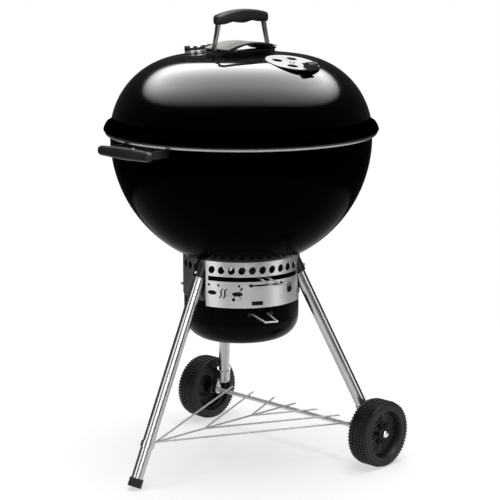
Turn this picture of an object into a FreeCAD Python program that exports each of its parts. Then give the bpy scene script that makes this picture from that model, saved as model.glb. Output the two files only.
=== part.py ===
"""Kettle charcoal grill on three legs with two wheels.

Frame: +Z up, origin on the ground under the kettle's axis.  The leg without a wheel is on -X,
the axle runs along Y on the +X side, and the side handles are at -X and +X.  Millimetres.
Every size is a cell of the sheet "dim"; each object's sizes are expressions of those cells.
A cell that starts with "=" is worked out from the cells above it.
"""
import FreeCAD, Part
import os
import re
import Sketcher

SIZES = [
    # kettle
    ("bowl_radius", 280, "outer radius of the bowl"),
    ("wall", 1.5, "enamelled steel sheet"),
    ("bead_z", 725.5, "height of the bowl's rolled rim"),
    ("bead_radius", 6.8, "section of the rolled rim"),
    ("bead_reach", 4.2, "rolled rim outside the bowl wall"),
    ("bowl_straight", 14.5, "straight wall between the round bowl and the rim"),
    ("bowl_floor", "=bead_z - bowl_straight - bowl_radius", "bottom of the bowl"),
    ("lip_out", 14, "lid's outer edge outside the bowl"),
    ("lip_radius", "=bowl_radius + lip_out", "lid's outer edge"),
    ("knuckle_radius", 165, "round shoulder of the lid"),
    ("knuckle_drop", 6.5, "shoulder centre under the rim"),
    ("crown_rise", 8, "crown over the top of the shoulder circle"),
    ("lid_top", "=bead_z - knuckle_drop + knuckle_radius + crown_rise", "top of the lid"),
    ("skirt_rise", 25, "height over the rim where the lid flares out"),
    ("lip_tall", 18, "height of the flared edge over the rim's centre"),
    ("lip_flare", 6, "width of the flared edge"),
    ("lip_fold", 3.2, "rolled edge, inwards"),
    ("gap", 0.3, "clearance between pieces"),
    ("shaft_gap", 0.08, "running clearance of a shaft"),
    # lid vent and thermometer
    ("vent_out", 32, "vent centre outside the shoulder circle's centre"),
    ("vent_reach", "=bowl_radius - knuckle_radius + vent_out", "vent centre from the axis"),
    ("seat_clear", 1, "vent seat wider than its disc"),
    ("rivet_radius", 2, "vent rivet"),
    ("tab_width", 26, "vent tab"),
    ("tab_length", 18, "vent tab"),
    ("tab_tall", 13, "folded end of the vent tab"),
    ("vent_radius", 56, "vent disc"),
    ("vent_sink", 3, "flat seat under the lid's surface"),
    ("vent_hole", 11, "radius of a vent hole"),
    ("vent_pitch", 31, "radius of the circle of vent holes"),
    ("gauge_reach", 128, "thermometer centre from the axis"),
    ("gauge_radius", 30, "thermometer case"),
    ("gauge_height", 15, "thermometer case"),
    ("gauge_wall", 1.5, "case wall"),
    ("gauge_lip", 4, "case edge over the glass"),
    ("gauge_boss", 3.5, "boss under the case"),
    ("bolt_radius", 2.5, "probe and lid screws"),
    ("probe_length", 48, "probe under the lid"),
    # lid handle
    ("grip_length", 152, "lid handle grip"),
    ("grip_width", 28, "lid handle grip"),
    ("grip_low", "=lid_top + 59", "underside of the grip's ends"),
    ("grip_arch", 6, "rise of the grip's middle"),
    ("grip_depth", 21, "height of the grip's ends"),
    ("post_foot", 81, "post foot from the middle"),
    ("post_head", 68, "post head from the middle"),
    ("post_width", 20, "flat steel post"),
    ("strap", 3, "flat steel thickness"),
    ("base_top", "=lid_top + 3", "top of the handle's base plate"),
    ("base_length", 180, "handle's base plate"),
    ("base_bolt", 68.4, "lid screw from the middle"),
    ("shield_top", "=base_top + 19", "heat shield crest"),
    ("shield_low", "=base_top + 8", "heat shield ends"),
    ("shield_width", 70, "heat shield"),
    # side handles
    ("side_z", "=bead_z - 15.5", "side handle height"),
    ("side_reach", "=bowl_radius + 65", "outer face of a side grip"),
    ("side_length", 156, "side grip length"),
    ("side_depth", 20, "side grip thickness"),
    ("side_tall", 24, "side grip height"),
    ("arm_offset", 62, "bracket arm from the middle"),
    ("arm_tall", 16, "bracket strap height"),
    # grates
    ("grate_radius", "=bowl_radius - wall - 9.5", "cooking grate"),
    ("grate_z", "=bead_z - 28.5", "cooking grate height"),
    ("grate_wire", 2.5, "radius of a grate rod"),
    ("grate_pitch", 18, "spacing of the grate rods"),
    ("hinge_x", 165, "flap hinge from the middle"),
    ("coal_z", "=bead_z - 184.5", "charcoal grate height"),
    ("coal_radius",
     "=sqrt(pow(bowl_radius - wall; 2) - pow(bead_z - bowl_straight - coal_z; 2)) - 11.6",
     "charcoal grate"),
    ("coal_wire", 3, "radius of a charcoal grate rod"),
    ("coal_pitch", 24, "spacing of the charcoal grate's rods"),
    ("coal_tie", 95, "charcoal grate's cross rods from the middle"),
    ("tab_gap", 5, "bowl tab under the edge of a grate"),
    # air control
    ("slot_inner", 44, "inner end of the bowl's air slots"),
    ("slot_outer", 98, "outer end of the bowl's air slots"),
    ("slot_width", 9, "air slot"),
    ("slot_step", 15, "angle between air slots"),
    ("blade_sheet", 1.5, "sweep blade"),
    ("blade_hub", 14, "inner end of a blade"),
    ("blade_sweep", 56, "angle a blade covers"),
    ("shaft_radius", 5, "sweep shaft"),
    ("shaft_tail", 6, "shaft under the lever"),
    ("lever_azimuth", 247, "sweep lever at rest"),
    ("lever_wire", 2, "radius of the lever's wire"),
    ("lever_loop", 11, "half width of the lever's loop"),
    ("arm_inset", 22, "lever's flat arm inside the housing"),
    ("arm_width", 22, "lever's flat arm"),
    # ash housing
    ("ring_radius", 126.5, "ash housing"),
    ("ring_sheet", 1, "ash housing sheet"),
    ("lever_reach", "=ring_radius + 68.5", "tip of the lever from the axis"),
    ("ring_low", "=bowl_floor - 58.5", "lower edge of the housing"),
    ("panel_low", "=bowl_floor - 68", "lower edge of the front panel"),
    ("panel_start", 188, "azimuth of the panel's first edge"),
    ("panel_sweep", 108, "angle of the panel"),
    ("panel_sheet", 1.2, "front panel"),
    ("hole_z", "=bowl_floor + 12", "row of air holes"),
    ("hole_radius", 7.3, "air hole"),
    ("hole_start", 194.5, "azimuth of the first oval hole"),
    ("hole_step", 10, "angle between air holes"),
    ("slot_z", "=bowl_floor - 6.3", "lever slot height"),
    ("slot_tall", 10, "lever slot"),
    ("slot_start", 190.7, "azimuth of the slot's first end"),
    ("slot_sweep", 100, "angle of the slot"),
    # ash bucket
    ("bucket_gap", 1, "bucket inside the housing"),
    ("bucket_radius", "=ring_radius - ring_sheet - bucket_gap", "ash bucket"),
    ("bucket_sheet", 1, "ash bucket sheet"),
    ("bucket_low", "=bowl_floor - 155.5", "bucket's underside"),
    ("bucket_top", "=bowl_floor - 41", "bucket's rim"),
    ("ear_offset", 24, "bucket handle's ear from its middle"),
    ("ear_radius", 4.5, "bucket handle's ear"),
    ("bail_half", 13, "half width of the bucket handle's tip"),
    ("bail_wire", 2, "radius of the bucket handle's wire"),
    ("bucket_knuckle", 46, "bucket's round lower corner"),
    ("bail_z", "=bowl_floor - 81", "bucket handle height"),
    ("bail_reach", "=bucket_radius + 80.5", "tip of the bucket handle from the axis"),
    ("bail_azimuth", 242, "bucket handle"),
    # stand
    ("leg_radius", 12.7, "leg tube"),
    ("leg_wall", 1.3, "leg tube"),
    ("leg_tilt", 25.14, "lean of the legs"),
    ("socket_z", "=bowl_floor + 12", "height where the leg axes are set out"),
    ("socket_reach", "=ring_radius - 9.5", "leg axis from the kettle axis at that height"),
    ("socket_radius", 16, "leg socket"),
    ("socket_length", 52, "leg socket below the bowl"),
    ("wheel_leg_azimuth", 60, "wheel legs' sockets"),
    ("wheel_leg_heading", 47.6, "direction in which a wheel leg leans"),
    ("wheel_leg_end", 100, "height of a wheel leg's lower end"),
    ("cap_radius", 15.2, "foot cap"),
    ("cap_length", 25, "foot cap"),
    ("axle_x", 154, "axle"),
    ("axle_radius", 5, "axle"),
    ("wheel_radius", 73, "wheel"),
    ("wheel_width", 51, "wheel"),
    ("wheel_clear", 4.6, "wheel from the end of its leg"),
    ("wheel_y",
     "=socket_reach * sin(wheel_leg_azimuth) + leg_radius + wheel_clear + wheel_width / 2"
     " + tan(leg_tilt) * (socket_z - wheel_leg_end) * sin(wheel_leg_heading)", "wheel centre plane"),
    ("hub_radius", 13, "wheel hub"),
    ("tyre_edge", 7, "round edge of the tyre"),
    ("groove_depth", 3, "tread groove"),
    # wire rack
    ("rack_wire", 2, "radius of the rack's wire"),
    ("rack_tip_z", 88, "height of the apex"),
    ("rack_half", 200, "outermost wires from the middle"),
]
NAMES = [alias for alias, number, meaning in SIZES]
TAU = 360

doc = FreeCAD.newDocument("KettleGrill")
sheet = doc.addObject("Spreadsheet::Sheet", "dim")
for row, (alias, number, meaning) in enumerate(SIZES, 1):
    sheet.set("A%d" % row, alias)
    sheet.set("B%d" % row, str(number))
    sheet.set("C%d" % row, meaning)
    sheet.setAlias("B%d" % row, alias)
doc.recompute()
nodes = []


# ---- helpers ------------------------------------------------------------------------------

def value(text):
    """Number that an expression of the sheet's cells gives."""
    result = sheet.evalExpression(str(text))
    return getattr(result, "Value", result)


def bind(thing, **sizes):
    """Tie properties of a document object to expressions of the sheet's cells."""
    for name, text in sizes.items():
        bound = re.sub(r"\b(%s)\b" % "|".join(NAMES), r"dim.\1", str(text))
        thing.setExpression(name, bound)


def vector(x, y, z):
    return "vector(%s; %s; %s)" % (x, y, z)


def frame(x=0, y=0, z=0, axis=(0, 0, 1), angle=0):
    """Placement expression: a point, then a turn about an axis through it."""
    return "placement(%s; rotation(%s; %s))" % (vector(x, y, z), vector(*axis), angle)


def place(thing, *frames):
    bind(thing, Placement=" * ".join(frames))


def add(kind, name, **sizes):
    thing = doc.addObject(kind, name)
    bind(thing, **sizes)
    return thing


def cylinder(name, radius, height, *frames, sweep=TAU):
    thing = add("Part::Cylinder", name, Radius=radius, Height=height)
    if sweep != TAU:
        bind(thing, Angle=sweep)
    place(thing, *(frames or [frame()]))
    return thing


def box(name, length, width, height, *frames):
    """Box centred in its first two directions and standing on its frame's plane."""
    thing = add("Part::Box", name, Length=length, Width=width, Height=height)
    place(thing, *frames, frame("-(%s) / 2" % length, "-(%s) / 2" % width, 0))
    return thing


def rod(name, start, end, radius):
    """Round bar between two points that aren't one above the other."""
    across = ["((%s) - (%s))" % (b, a) for a, b in zip(start, end)]
    span = "sqrt(%s)" % " + ".join("pow(%s; 2)" % each for each in across)
    turn = ("-%s" % across[1], across[0], 0)
    return cylinder(name, radius, span, frame(*start, turn, "acos(%s / %s)" % (across[2], span)))


def ring(name, big, small, *frames, sweep=TAU):
    thing = add("Part::Torus", name, Radius1=big, Radius2=small)
    if sweep != TAU:
        bind(thing, Angle3=sweep)
    place(thing, *frames)
    return thing


def ball(name, radius, *frames):
    thing = add("Part::Sphere", name, Radius=radius)
    place(thing, *frames)
    return thing


def wire_path(name, points, radius, turns):
    """Bent wire through points, with a bead a little thicker than the wire at each bend.

    Each bead is turned so that the seam of its sphere faces away from both of its wires.
    """
    made = [rod("%s_run%d" % (name, index), start, end, radius)
            for index, (start, end) in enumerate(zip(points, points[1:]))]
    made += [ball("%s_bend%d" % (name, index), radius + " * 1.06", frame(*point, (0, 0, 1), turn))
             for index, (point, turn) in enumerate(zip(points[1:-1], turns))]
    return made


def fuse(name, *things):
    whole = doc.addObject("Part::MultiFuse", name)
    whole.Shapes = list(things)
    return whole


def cut(name, base, *tools):
    whole = doc.addObject("Part::Cut", name)
    whole.Base = base
    whole.Tool = tools[0] if len(tools) == 1 else fuse(name + "_tools", *tools)
    return whole


def common(name, first, second):
    whole = doc.addObject("Part::Common", name)
    whole.Base = first
    whole.Tool = second
    return whole


def group(name, *things):
    """Separate solids kept together as one node."""
    whole = doc.addObject("Part::Compound", name)
    whole.Links = list(things)
    return whole


def node(label, thing):
    """Name a finished sub-part; the name is also its file's name."""
    thing.Label = label
    nodes.append(thing)
    return thing


def origin_plane(body, role):
    return next(each for each in body.Origin.OriginFeatures if each.Role == role)


def pinned(sketch, edge, corner, u, v):
    """Hold a vertex at the expressions u, v of the sheet."""
    for kind, text, axis in (("DistanceX", u, -2), ("DistanceY", v, -1)):
        if text == 0:
            sketch.addConstraint(Sketcher.Constraint("PointOnObject", edge, corner, axis))
        else:
            rule = Sketcher.Constraint(kind, -1, 1, edge, corner, value(text))
            index = sketch.addConstraint(rule)
            bind(sketch, **{"Constraints[%d]" % index: text})


def outline_sketch(body, role, outline):
    """Closed outline.  A step is (u, v) for a straight edge to that point, or (u, v, radius,
    side) for an arc to it, whose centre lies left (1) or right (-1) of the way there."""
    sketch = body.newObject("Sketcher::SketchObject", body.Name + "_outline")
    sketch.AttachmentSupport = [(origin_plane(body, role), "")]
    sketch.MapMode = "FlatFace"
    flat = [FreeCAD.Vector(value(step[0]), value(step[1]), 0) for step in outline]
    ends = []
    for index, step in enumerate(outline):
        start, end = flat[index - 1], flat[index]
        if len(step) == 2:
            edge = sketch.addGeometry(Part.LineSegment(start, end), False)
            ends.append((edge, 1, 2))
            continue
        radius, side = value(step[2]), step[3]
        chord = end - start
        across = FreeCAD.Vector(-chord.y, chord.x, 0).normalize()
        reach = max(radius ** 2 - (chord.Length / 2) ** 2, 0) ** 0.5
        centre = (start + end) / 2 + across * (side * reach)
        first, last = (start, end) if side > 0 else (end, start)
        circle = Part.Circle(centre, FreeCAD.Vector(0, 0, 1), radius)
        arc = Part.ArcOfCircle(circle, circle.parameter(first), circle.parameter(last))
        edge = sketch.addGeometry(arc, False)
        ends.append((edge, 1, 2) if side > 0 else (edge, 2, 1))
        rule = sketch.addConstraint(Sketcher.Constraint("Radius", edge, radius))
        bind(sketch, **{"Constraints[%d]" % rule: step[2]})
    for index, step in enumerate(outline):
        edge, start, end = ends[index]
        following, begin, finish = ends[(index + 1) % len(outline)]
        sketch.addConstraint(Sketcher.Constraint("Coincident", edge, end, following, begin))
        pinned(sketch, edge, end, step[0], step[1])
    return sketch


def turned(name, outline, sweep=TAU):
    """Body turned about Z from an outline in the XZ plane."""
    body = doc.addObject("PartDesign::Body", name)
    sketch = outline_sketch(body, "XZ_Plane", outline)
    turn = body.newObject("PartDesign::Revolution", name + "_turn")
    turn.Profile = sketch
    turn.ReferenceAxis = (sketch, ["V_Axis"])
    bind(turn, Angle=sweep)
    turn.Midplane = sweep != TAU
    body.Tip = turn
    return body


def padded(name, role, outline, length, *frames, rounding=None):
    """Body padded to both sides of a plane, with every edge rounded when asked."""
    body = doc.addObject("PartDesign::Body", name)
    sketch = outline_sketch(body, role, outline)
    pad = body.newObject("PartDesign::Pad", name + "_pad")
    pad.Profile = sketch
    pad.SideType = "Symmetric"
    bind(pad, Length=length)
    body.Tip = pad
    if rounding:
        doc.recompute()
        fillet = body.newObject("PartDesign::Fillet", name + "_rounding")
        count = len(pad.Shape.Edges)
        fillet.Base = (pad, ["Edge%d" % (index + 1) for index in range(count)])
        bind(fillet, Radius=rounding)
        body.Tip = fillet
    place(body, *(frames or [frame()]))
    return body


# ---- shared places ------------------------------------------------------------------------

BOWL_Z = "(bead_z - bowl_straight)"
KNUCKLE_IN = "(bowl_radius - knuckle_radius)"
KNUCKLE_Z = "(bead_z - knuckle_drop)"
CROWN = ("((pow(%s; 2) + 2 * knuckle_radius * crown_rise + pow(crown_rise; 2))"
         " / (2 * crown_rise))" % KNUCKLE_IN)
CROWN_Z = "(lid_top - %s)" % CROWN
SHARE = "(%s / (%s - knuckle_radius))" % (CROWN, CROWN)
SKIRT_Z = "(bead_z + skirt_rise)"

VENT_ANGLE = "asin((vent_reach - %s) / knuckle_radius)" % KNUCKLE_IN
VENT_Z = "(%s + sqrt(pow(knuckle_radius; 2) - pow(vent_reach - %s; 2)))" % (KNUCKLE_Z, KNUCKLE_IN)
VENT = frame(0, "-vent_reach", VENT_Z, (1, 0, 0), VENT_ANGLE)
GAUGE_ANGLE = "-asin(gauge_reach / %s)" % CROWN
GAUGE_Z = "(%s + sqrt(pow(%s; 2) - pow(gauge_reach; 2)))" % (CROWN_Z, CROWN)
GAUGE = frame(0, "gauge_reach", GAUGE_Z, (1, 0, 0), GAUGE_ANGLE)


def sphere_drop(radius, reach):
    """Height of a bowl surface of this radius, at this distance from the axis."""
    return "(%s - sqrt(pow(%s; 2) - pow(%s; 2)))" % (BOWL_Z, radius, reach)


def leg_point(azimuth, heading, height):
    """Point of a leg's axis at a height."""
    lean = "(tan(leg_tilt) * (socket_z - (%s)))" % height
    x = "(socket_reach * cos(%s) + %s * cos(%s))" % (azimuth, lean, heading)
    y = "(socket_reach * sin(%s) + %s * sin(%s))" % (azimuth, lean, heading)
    return (x, y, height)


LEGS = {
    "front": ("180", "180"),
    "wheel_left": ("wheel_leg_azimuth", "wheel_leg_heading"),
    "wheel_right": ("-wheel_leg_azimuth", "-wheel_leg_heading"),
}


def along_leg(side, low, high, radius, name):
    azimuth, heading = LEGS[side]
    return rod(name, leg_point(azimuth, heading, low), leg_point(azimuth, heading, high), radius)


# ---- lid ----------------------------------------------------------------------------------

def lid_outline():
    """Sheet from the crown down to the flared edge, whose rolled underside rests on the rim."""
    inner = "(knuckle_radius - wall)"
    skirt = "(%s + sqrt(pow(%s; 2) - pow(%s - %s; 2)))"
    out_skirt = skirt % (KNUCKLE_IN, "knuckle_radius", SKIRT_Z, KNUCKLE_Z)
    in_skirt = skirt % (KNUCKLE_IN, inner, SKIRT_Z, KNUCKLE_Z)
    seat = "(bead_z + bead_radius + gap)"
    in_share = "((%s - wall) / (%s - knuckle_radius))" % (CROWN, CROWN)
    return [
        (0, "lid_top"),
        ("%s * %s" % (SHARE, KNUCKLE_IN), "%s + %s * (%s - %s)" % (CROWN_Z, SHARE, KNUCKLE_Z, CROWN_Z),
         CROWN, -1),
        (out_skirt, SKIRT_Z, "knuckle_radius", -1),
        ("lip_radius - lip_flare", "bead_z + lip_tall"),
        ("lip_radius - 2", "bead_z + 11"),
        ("lip_radius", "bead_z + 4.5"),
        ("lip_radius - 0.8", "bead_z + 2.8"),
        ("lip_radius - 2.1", "bead_z + 2.8"),
        ("lip_radius - lip_fold", seat),
        ("bowl_radius - wall", seat),
        (in_skirt, SKIRT_Z),
        ("%s * %s" % (in_share, KNUCKLE_IN),
         "%s + %s * (%s - %s)" % (CROWN_Z, in_share, KNUCKLE_Z, CROWN_Z), inner, 1),
        (0, "lid_top - wall", "%s - wall" % CROWN, 1),
    ]


def vent_holes(name, radius, low, high):
    return [cylinder("%s%d" % (name, index), radius, "%s - (%s)" % (high, low), VENT,
                     frame(0, 0, low, (0, 0, 1), index * TAU / 4 + TAU / 8), frame("vent_pitch"))
            for index in range(4)]


def lid():
    shell = turned("lid_sheet", lid_outline())
    opened = cut("lid_opened", shell, cylinder("seat_opening", "vent_radius + seat_clear", 60, VENT,
                                               frame(0, 0, -20)))
    seat_top = "-vent_sink"
    seat = cylinder("seat_plate", "vent_radius + seat_clear + wall", "wall", VENT,
                    frame(0, 0, "%s - wall" % seat_top))
    skirt = cut("seat_skirt",
                cylinder("seat_outer", "vent_radius + seat_clear + wall", "9", VENT, frame(0, 0, "-11")),
                cylinder("seat_inner", "vent_radius + seat_clear", "20", VENT, frame(0, 0, "-15")))
    boss = cylinder("gauge_boss", "gauge_radius + 1", "gauge_boss", GAUGE, frame(0, 0, "-gauge_boss"))
    whole = fuse("lid_whole", opened, seat, skirt, boss)
    tools = vent_holes("lid_vent_hole", "vent_hole", "-20", "10")
    tools.append(cylinder("rivet_hole", "rivet_radius + gap", 30, VENT, frame(0, 0, -20)))
    tools.append(cylinder("probe_hole", "bolt_radius + gap", 30, GAUGE, frame(0, 0, -20)))
    for side in (-1, 1):
        tools.append(cylinder("base_bolt_hole%d" % (side + 1), "bolt_radius + gap", 60,
                              frame("%d * base_bolt" % side, 0, "lid_top - 40")))
    node("lid_shell", cut("lid_shell", whole, *tools))


def lid_vent():
    low = "(gap - vent_sink)"
    high = "(%s + wall)" % low
    disc = cylinder("vent_blank", "vent_radius", "wall", VENT, frame(0, 0, low))
    tools = vent_holes("vent_disc_hole", "vent_hole", "-20", "10")
    tools.append(cylinder("disc_rivet_hole", "rivet_radius + gap", 20, VENT, frame(0, 0, -10)))
    node("lid_vent_disc", cut("lid_vent_disc", disc, *tools))
    flat = box("tab_flat", "tab_width", "tab_length", 2, VENT, frame(0, "-vent_radius", "%s + gap" % high))
    fold = box("tab_fold", "tab_width", 2.5, "tab_tall", VENT,
               frame(0, "-vent_radius - 8", "%s + gap" % high))
    node("lid_vent_tab", fuse("lid_vent_tab", flat, fold))
    head = cylinder("rivet_head", 6, 2.5, VENT, frame(0, 0, "%s + gap" % high))
    shank = cylinder("rivet_shank", "rivet_radius", "10", VENT, frame(0, 0, "%s + gap - 9" % high))
    tail = cylinder("rivet_tail", 5, 1.5, VENT, frame(0, 0, "-vent_sink - wall - gap - 1.5"))
    node("lid_vent_rivet", fuse("lid_vent_rivet", head, shank, tail))


def thermometer():
    inside = "gauge_radius - gauge_wall"
    case = turned("case_body", [
        ("bolt_radius + gap", "gap"), ("gauge_radius", "gap"), ("gauge_radius", "gauge_height - gauge_wall"),
        (inside, "gauge_height"), ("gauge_radius - gauge_lip", "gauge_height"),
        ("gauge_radius - gauge_lip", "gauge_height - 2"), (inside, "gauge_height - 2"),
        (inside, "2"), ("bolt_radius + gap", "2")])
    place(case, GAUGE)
    node("thermometer_case", case)
    dial = cut("thermometer_dial",
               cylinder("dial_blank", inside + " - gap", 1, GAUGE, frame(0, 0, "2 + gap")),
               cylinder("dial_hole", "1.2 + gap", 9, GAUGE))
    node("thermometer_dial", dial)
    blade = box("pointer_blade", 2.2, "gauge_radius - 9", 0.8, GAUGE,
                frame(0, "(gauge_radius - 9) / 2 - 4", 4.2))
    hub = cylinder("pointer_hub", 3.4, 1.4, GAUGE, frame(0, 0, 4.2))
    pin = cylinder("pointer_pin", 1.2, 2.5, GAUGE, frame(0, 0, 2.4))
    node("thermometer_pointer", fuse("thermometer_pointer", blade, hub, pin))
    glass = cylinder("glass_disc", inside + " - gap", 1.2, GAUGE,
                     frame(0, 0, "gauge_height - 2 - gap - 1.2"))
    node("thermometer_glass", glass)
    probe = cylinder("probe_rod", "bolt_radius", "probe_length", GAUGE, frame(0, 0, "2 - probe_length"))
    node("thermometer_probe", probe)
    nut = cut("thermometer_nut", cylinder("nut_blank", 8, 5, GAUGE, frame(0, 0, "-gauge_boss - gap - 5")),
              cylinder("nut_bore", "bolt_radius + gap", 20, GAUGE, frame(0, 0, -18)))
    node("thermometer_nut", nut)


def lid_handle():
    plate = box("base_blank", "base_length", "grip_width", 30, frame(0, 0, "base_top - 30"))
    crown = ball("base_crown", "%s + gap" % CROWN, frame(0, 0, CROWN_Z))
    holes = [cylinder("base_hole%d" % (side + 1), "bolt_radius + gap", 60,
                      frame("%d * base_bolt" % side, 0, "base_top - 40")) for side in (-1, 1)]
    node("lid_handle_base", cut("lid_handle_base", plate, crown, *holes))
    posts = []
    for side, turn in (("left", 0), ("right", 180)):
        low, high = "(base_top + gap)", "(grip_low - gap)"
        foot = "post_foot - 26"
        post = padded("post_" + side, "XZ_Plane", [
            (foot, low), ("post_foot", low), ("post_head + strap", high), ("post_head", high),
            ("post_foot - strap", low + " + strap"), (foot, low + " + strap")],
            "post_width", frame(0, 0, 0, (0, 0, 1), turn))
        hole = cylinder("post_hole_" + side, "bolt_radius + gap", 60, frame(0, 0, 0, (0, 0, 1), turn),
                        frame("base_bolt", 0, "base_top - 40"))
        posts.append(cut("post_cut_" + side, post, hole))
    node("lid_handle_posts", group("lid_handle_posts", *posts))
    screws = []
    for side in (-1, 1):
        x = "%d * base_bolt" % side
        head_z = "(base_top + gap + strap + gap)"
        head = cylinder("screw_head%d" % (side + 1), 4.6, 2.4, frame(x, 0, head_z))
        shank = cylinder("screw_shank%d" % (side + 1), "bolt_radius", "%s - lid_top + 15" % head_z,
                         frame(x, 0, "lid_top - 14"))
        screws.append(fuse("screw%d" % (side + 1), head, shank))
    node("lid_handle_screws", group("lid_handle_screws", *screws))
    reach = "(post_foot - strap - gap - 3.5)"
    rise = "(shield_top - shield_low)"
    arc = "((pow(%s; 2) + pow(%s; 2)) / (2 * %s))" % (reach, rise, rise)
    shift = "base_length / 2"
    shield = padded("shield_body", "XZ_Plane", [
        ("%s - %s" % (shift, reach), "shield_low"),
        (shift, "shield_top", arc, -1),
        ("%s + %s" % (shift, reach), "shield_low", arc, -1),
        ("%s + %s" % (shift, reach), "shield_low - wall"),
        (shift, "shield_top - wall", "(%s)" % arc, 1),
        ("%s - %s" % (shift, reach), "shield_low - wall", "(%s)" % arc, 1)],
        "shield_width", frame("-base_length / 2"))
    node("lid_heat_shield", shield)
    half = "grip_length / 2"
    top = "(grip_low + grip_depth)"
    bow = "((pow(%s; 2) + pow(grip_arch + 4; 2)) / (2 * (grip_arch + 4)))" % half
    belly = "(%s - 16)" % half
    dip = "((pow(%s; 2) + pow(grip_arch; 2)) / (2 * grip_arch))" % belly
    low = "grip_low"
    grip = padded("grip_body", "XZ_Plane", [
        (0, low), (0, top), (half, "%s + grip_arch + 4" % top, bow, -1), ("grip_length", top, bow, -1),
        ("grip_length", low), ("%s + %s" % (half, belly), low),
        (half, "%s + grip_arch" % low, dip, 1), ("16", low, dip, 1)],
        "grip_width", frame("-grip_length / 2"))
    node("lid_handle_grip", grip)


# ---- bowl and its handles -----------------------------------------------------------------

def air_slots(name, low, high):
    """Three groups of four radial slots through the bottom of the bowl."""
    tools = []
    for third in range(3):
        for place_in_group in range(4):
            angle = "%d + slot_step * %.1f" % (third * TAU / 3, place_in_group - 1.5)
            label = "%s%d_%d_" % (name, third, place_in_group)
            turn = frame(0, 0, low, (0, 0, 1), angle)
            tools.append(box(label + "mid", "slot_outer - slot_inner", "slot_width",
                             "%s - %s" % (high, low), turn, frame("(slot_outer + slot_inner) / 2")))
            tools.append(cylinder(label + "end", "slot_width / 2", "%s - %s" % (high, low), turn,
                                  frame("slot_outer")))
    return tools


def bowl():
    inner = "(bowl_radius - wall)"
    body = turned("bowl_sheet", [
        (0, "%s - bowl_radius" % BOWL_Z), ("bowl_radius", BOWL_Z, "bowl_radius", 1),
        ("bowl_radius", "bead_z"), (inner, "bead_z"), (inner, BOWL_Z),
        (0, "%s - %s" % (BOWL_Z, inner), inner, -1)])
    bead = ring("bowl_bead", "bowl_radius + bead_reach", "bead_radius", frame(0, 0, "bead_z"))
    tools = air_slots("air_slot", "(%s - bowl_radius - 10)" % BOWL_Z, "(%s - bowl_radius + 60)" % BOWL_Z)
    tools.append(cylinder("shaft_hole", "shaft_radius + gap", 40,
                          frame(0, 0, "%s - bowl_radius - 20" % BOWL_Z)))
    node("bowl_shell", cut("bowl_shell", fuse("bowl_whole", body, bead), *tools))


def side_handle(side, turn):
    spot = frame(0, 0, "side_z", (0, 0, 1), turn)
    name = "side_handle_" + side
    spread = "asin((arm_offset + strap / 2) / bowl_radius)"
    saddle = "(bowl_radius + gap)"
    start = frame(0, 0, "-arm_tall / 2", (0, 0, 1), "-" + spread)
    back = cut(name + "_back",
               cylinder(name + "_back_out", "%s + strap" % saddle, "arm_tall", spot, start,
                        sweep="2 * " + spread),
               cylinder(name + "_back_in", saddle, "arm_tall + 20", spot,
                        frame(0, 0, "-arm_tall / 2 - 10")))
    bar_x = "(side_reach - side_depth - gap - strap)"
    pieces = [back, box(name + "_bar", "strap", "2 * arm_offset + strap", "arm_tall", spot,
                        frame("%s + strap / 2" % bar_x, 0, "-arm_tall / 2"))]
    root = "sqrt(pow(%s; 2) - pow(arm_offset; 2))" % saddle
    for arm in (-1, 1):
        pieces.append(box("%s_arm%d" % (name, arm + 1), "%s + strap - %s - 1" % (bar_x, root), "strap",
                          "arm_tall", spot,
                          frame("(%s + strap + %s + 1) / 2" % (bar_x, root), "%d * arm_offset" % arm,
                                "-arm_tall / 2")))
    node(name + "_bracket", fuse(name + "_bracket", *pieces))
    grip = padded(name + "_grip", "YZ_Plane", [
        (0, 0), ("side_length", 0), ("side_length", "side_tall"), (0, "side_tall")],
        "side_depth", spot, frame("side_reach - side_depth / 2", "-side_length / 2", "-side_tall / 2"),
        rounding="side_depth * 0.36")
    node(name + "_grip", grip)
    bolts = []
    for index in (-1, 1):
        way = frame(0, 0, 0, (0, 0, 1), "%d * 7" % index)
        bolts.append(cylinder("%s_bolt%d" % (name, index + 1), 5, 3, spot, way,
                              frame("%s + strap + gap" % saddle, 0, 0, (0, 1, 0), 90)))
    node(name + "_bolts", group(name + "_bolts", *bolts))


# ---- grates -------------------------------------------------------------------------------

def cooking_grate():
    under = "(grate_z - grate_wire * 1.6)"
    inside = "(hinge_x - 3)"
    pieces, count = [], 27
    for index in range(count):
        y = "(grate_pitch * %.1f)" % (index - (count - 1) / 2)
        end = "min(%s; sqrt(pow(grate_radius; 2) - pow(%s; 2)))" % (inside, y)
        pieces.append(rod("grate_bar%d" % index, ("-" + end, y, "grate_z"), (end, y, "grate_z"),
                          "grate_wire"))
    edge = "acos(hinge_x / grate_radius)"
    for index, turn in enumerate((0, 180)):
        pieces.append(ring("grate_arc%d" % index, "grate_radius", "grate_wire",
                           frame(0, 0, under, (0, 0, 1), "%s + %d deg" % (edge, turn)),
                           sweep="180 deg - 2 * " + edge))
    end = "sqrt(pow(grate_radius; 2) - pow(hinge_x; 2))"
    for index, side in enumerate((-1, 1)):
        x = "(%d * hinge_x)" % side
        pieces.append(rod("grate_cross%d" % index, (x, "-" + end, under), (x, end, under), "grate_wire"))
        inner_x = "(%d * (hinge_x - 9))" % side
        inner_end = "sqrt(pow(grate_radius; 2) - pow(hinge_x - 9; 2))"
        pieces.append(rod("grate_tie%d" % index, (inner_x, "-" + inner_end, under),
                          (inner_x, inner_end, under), "grate_wire"))
    node("cooking_grate", fuse("cooking_grate", *pieces))


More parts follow.
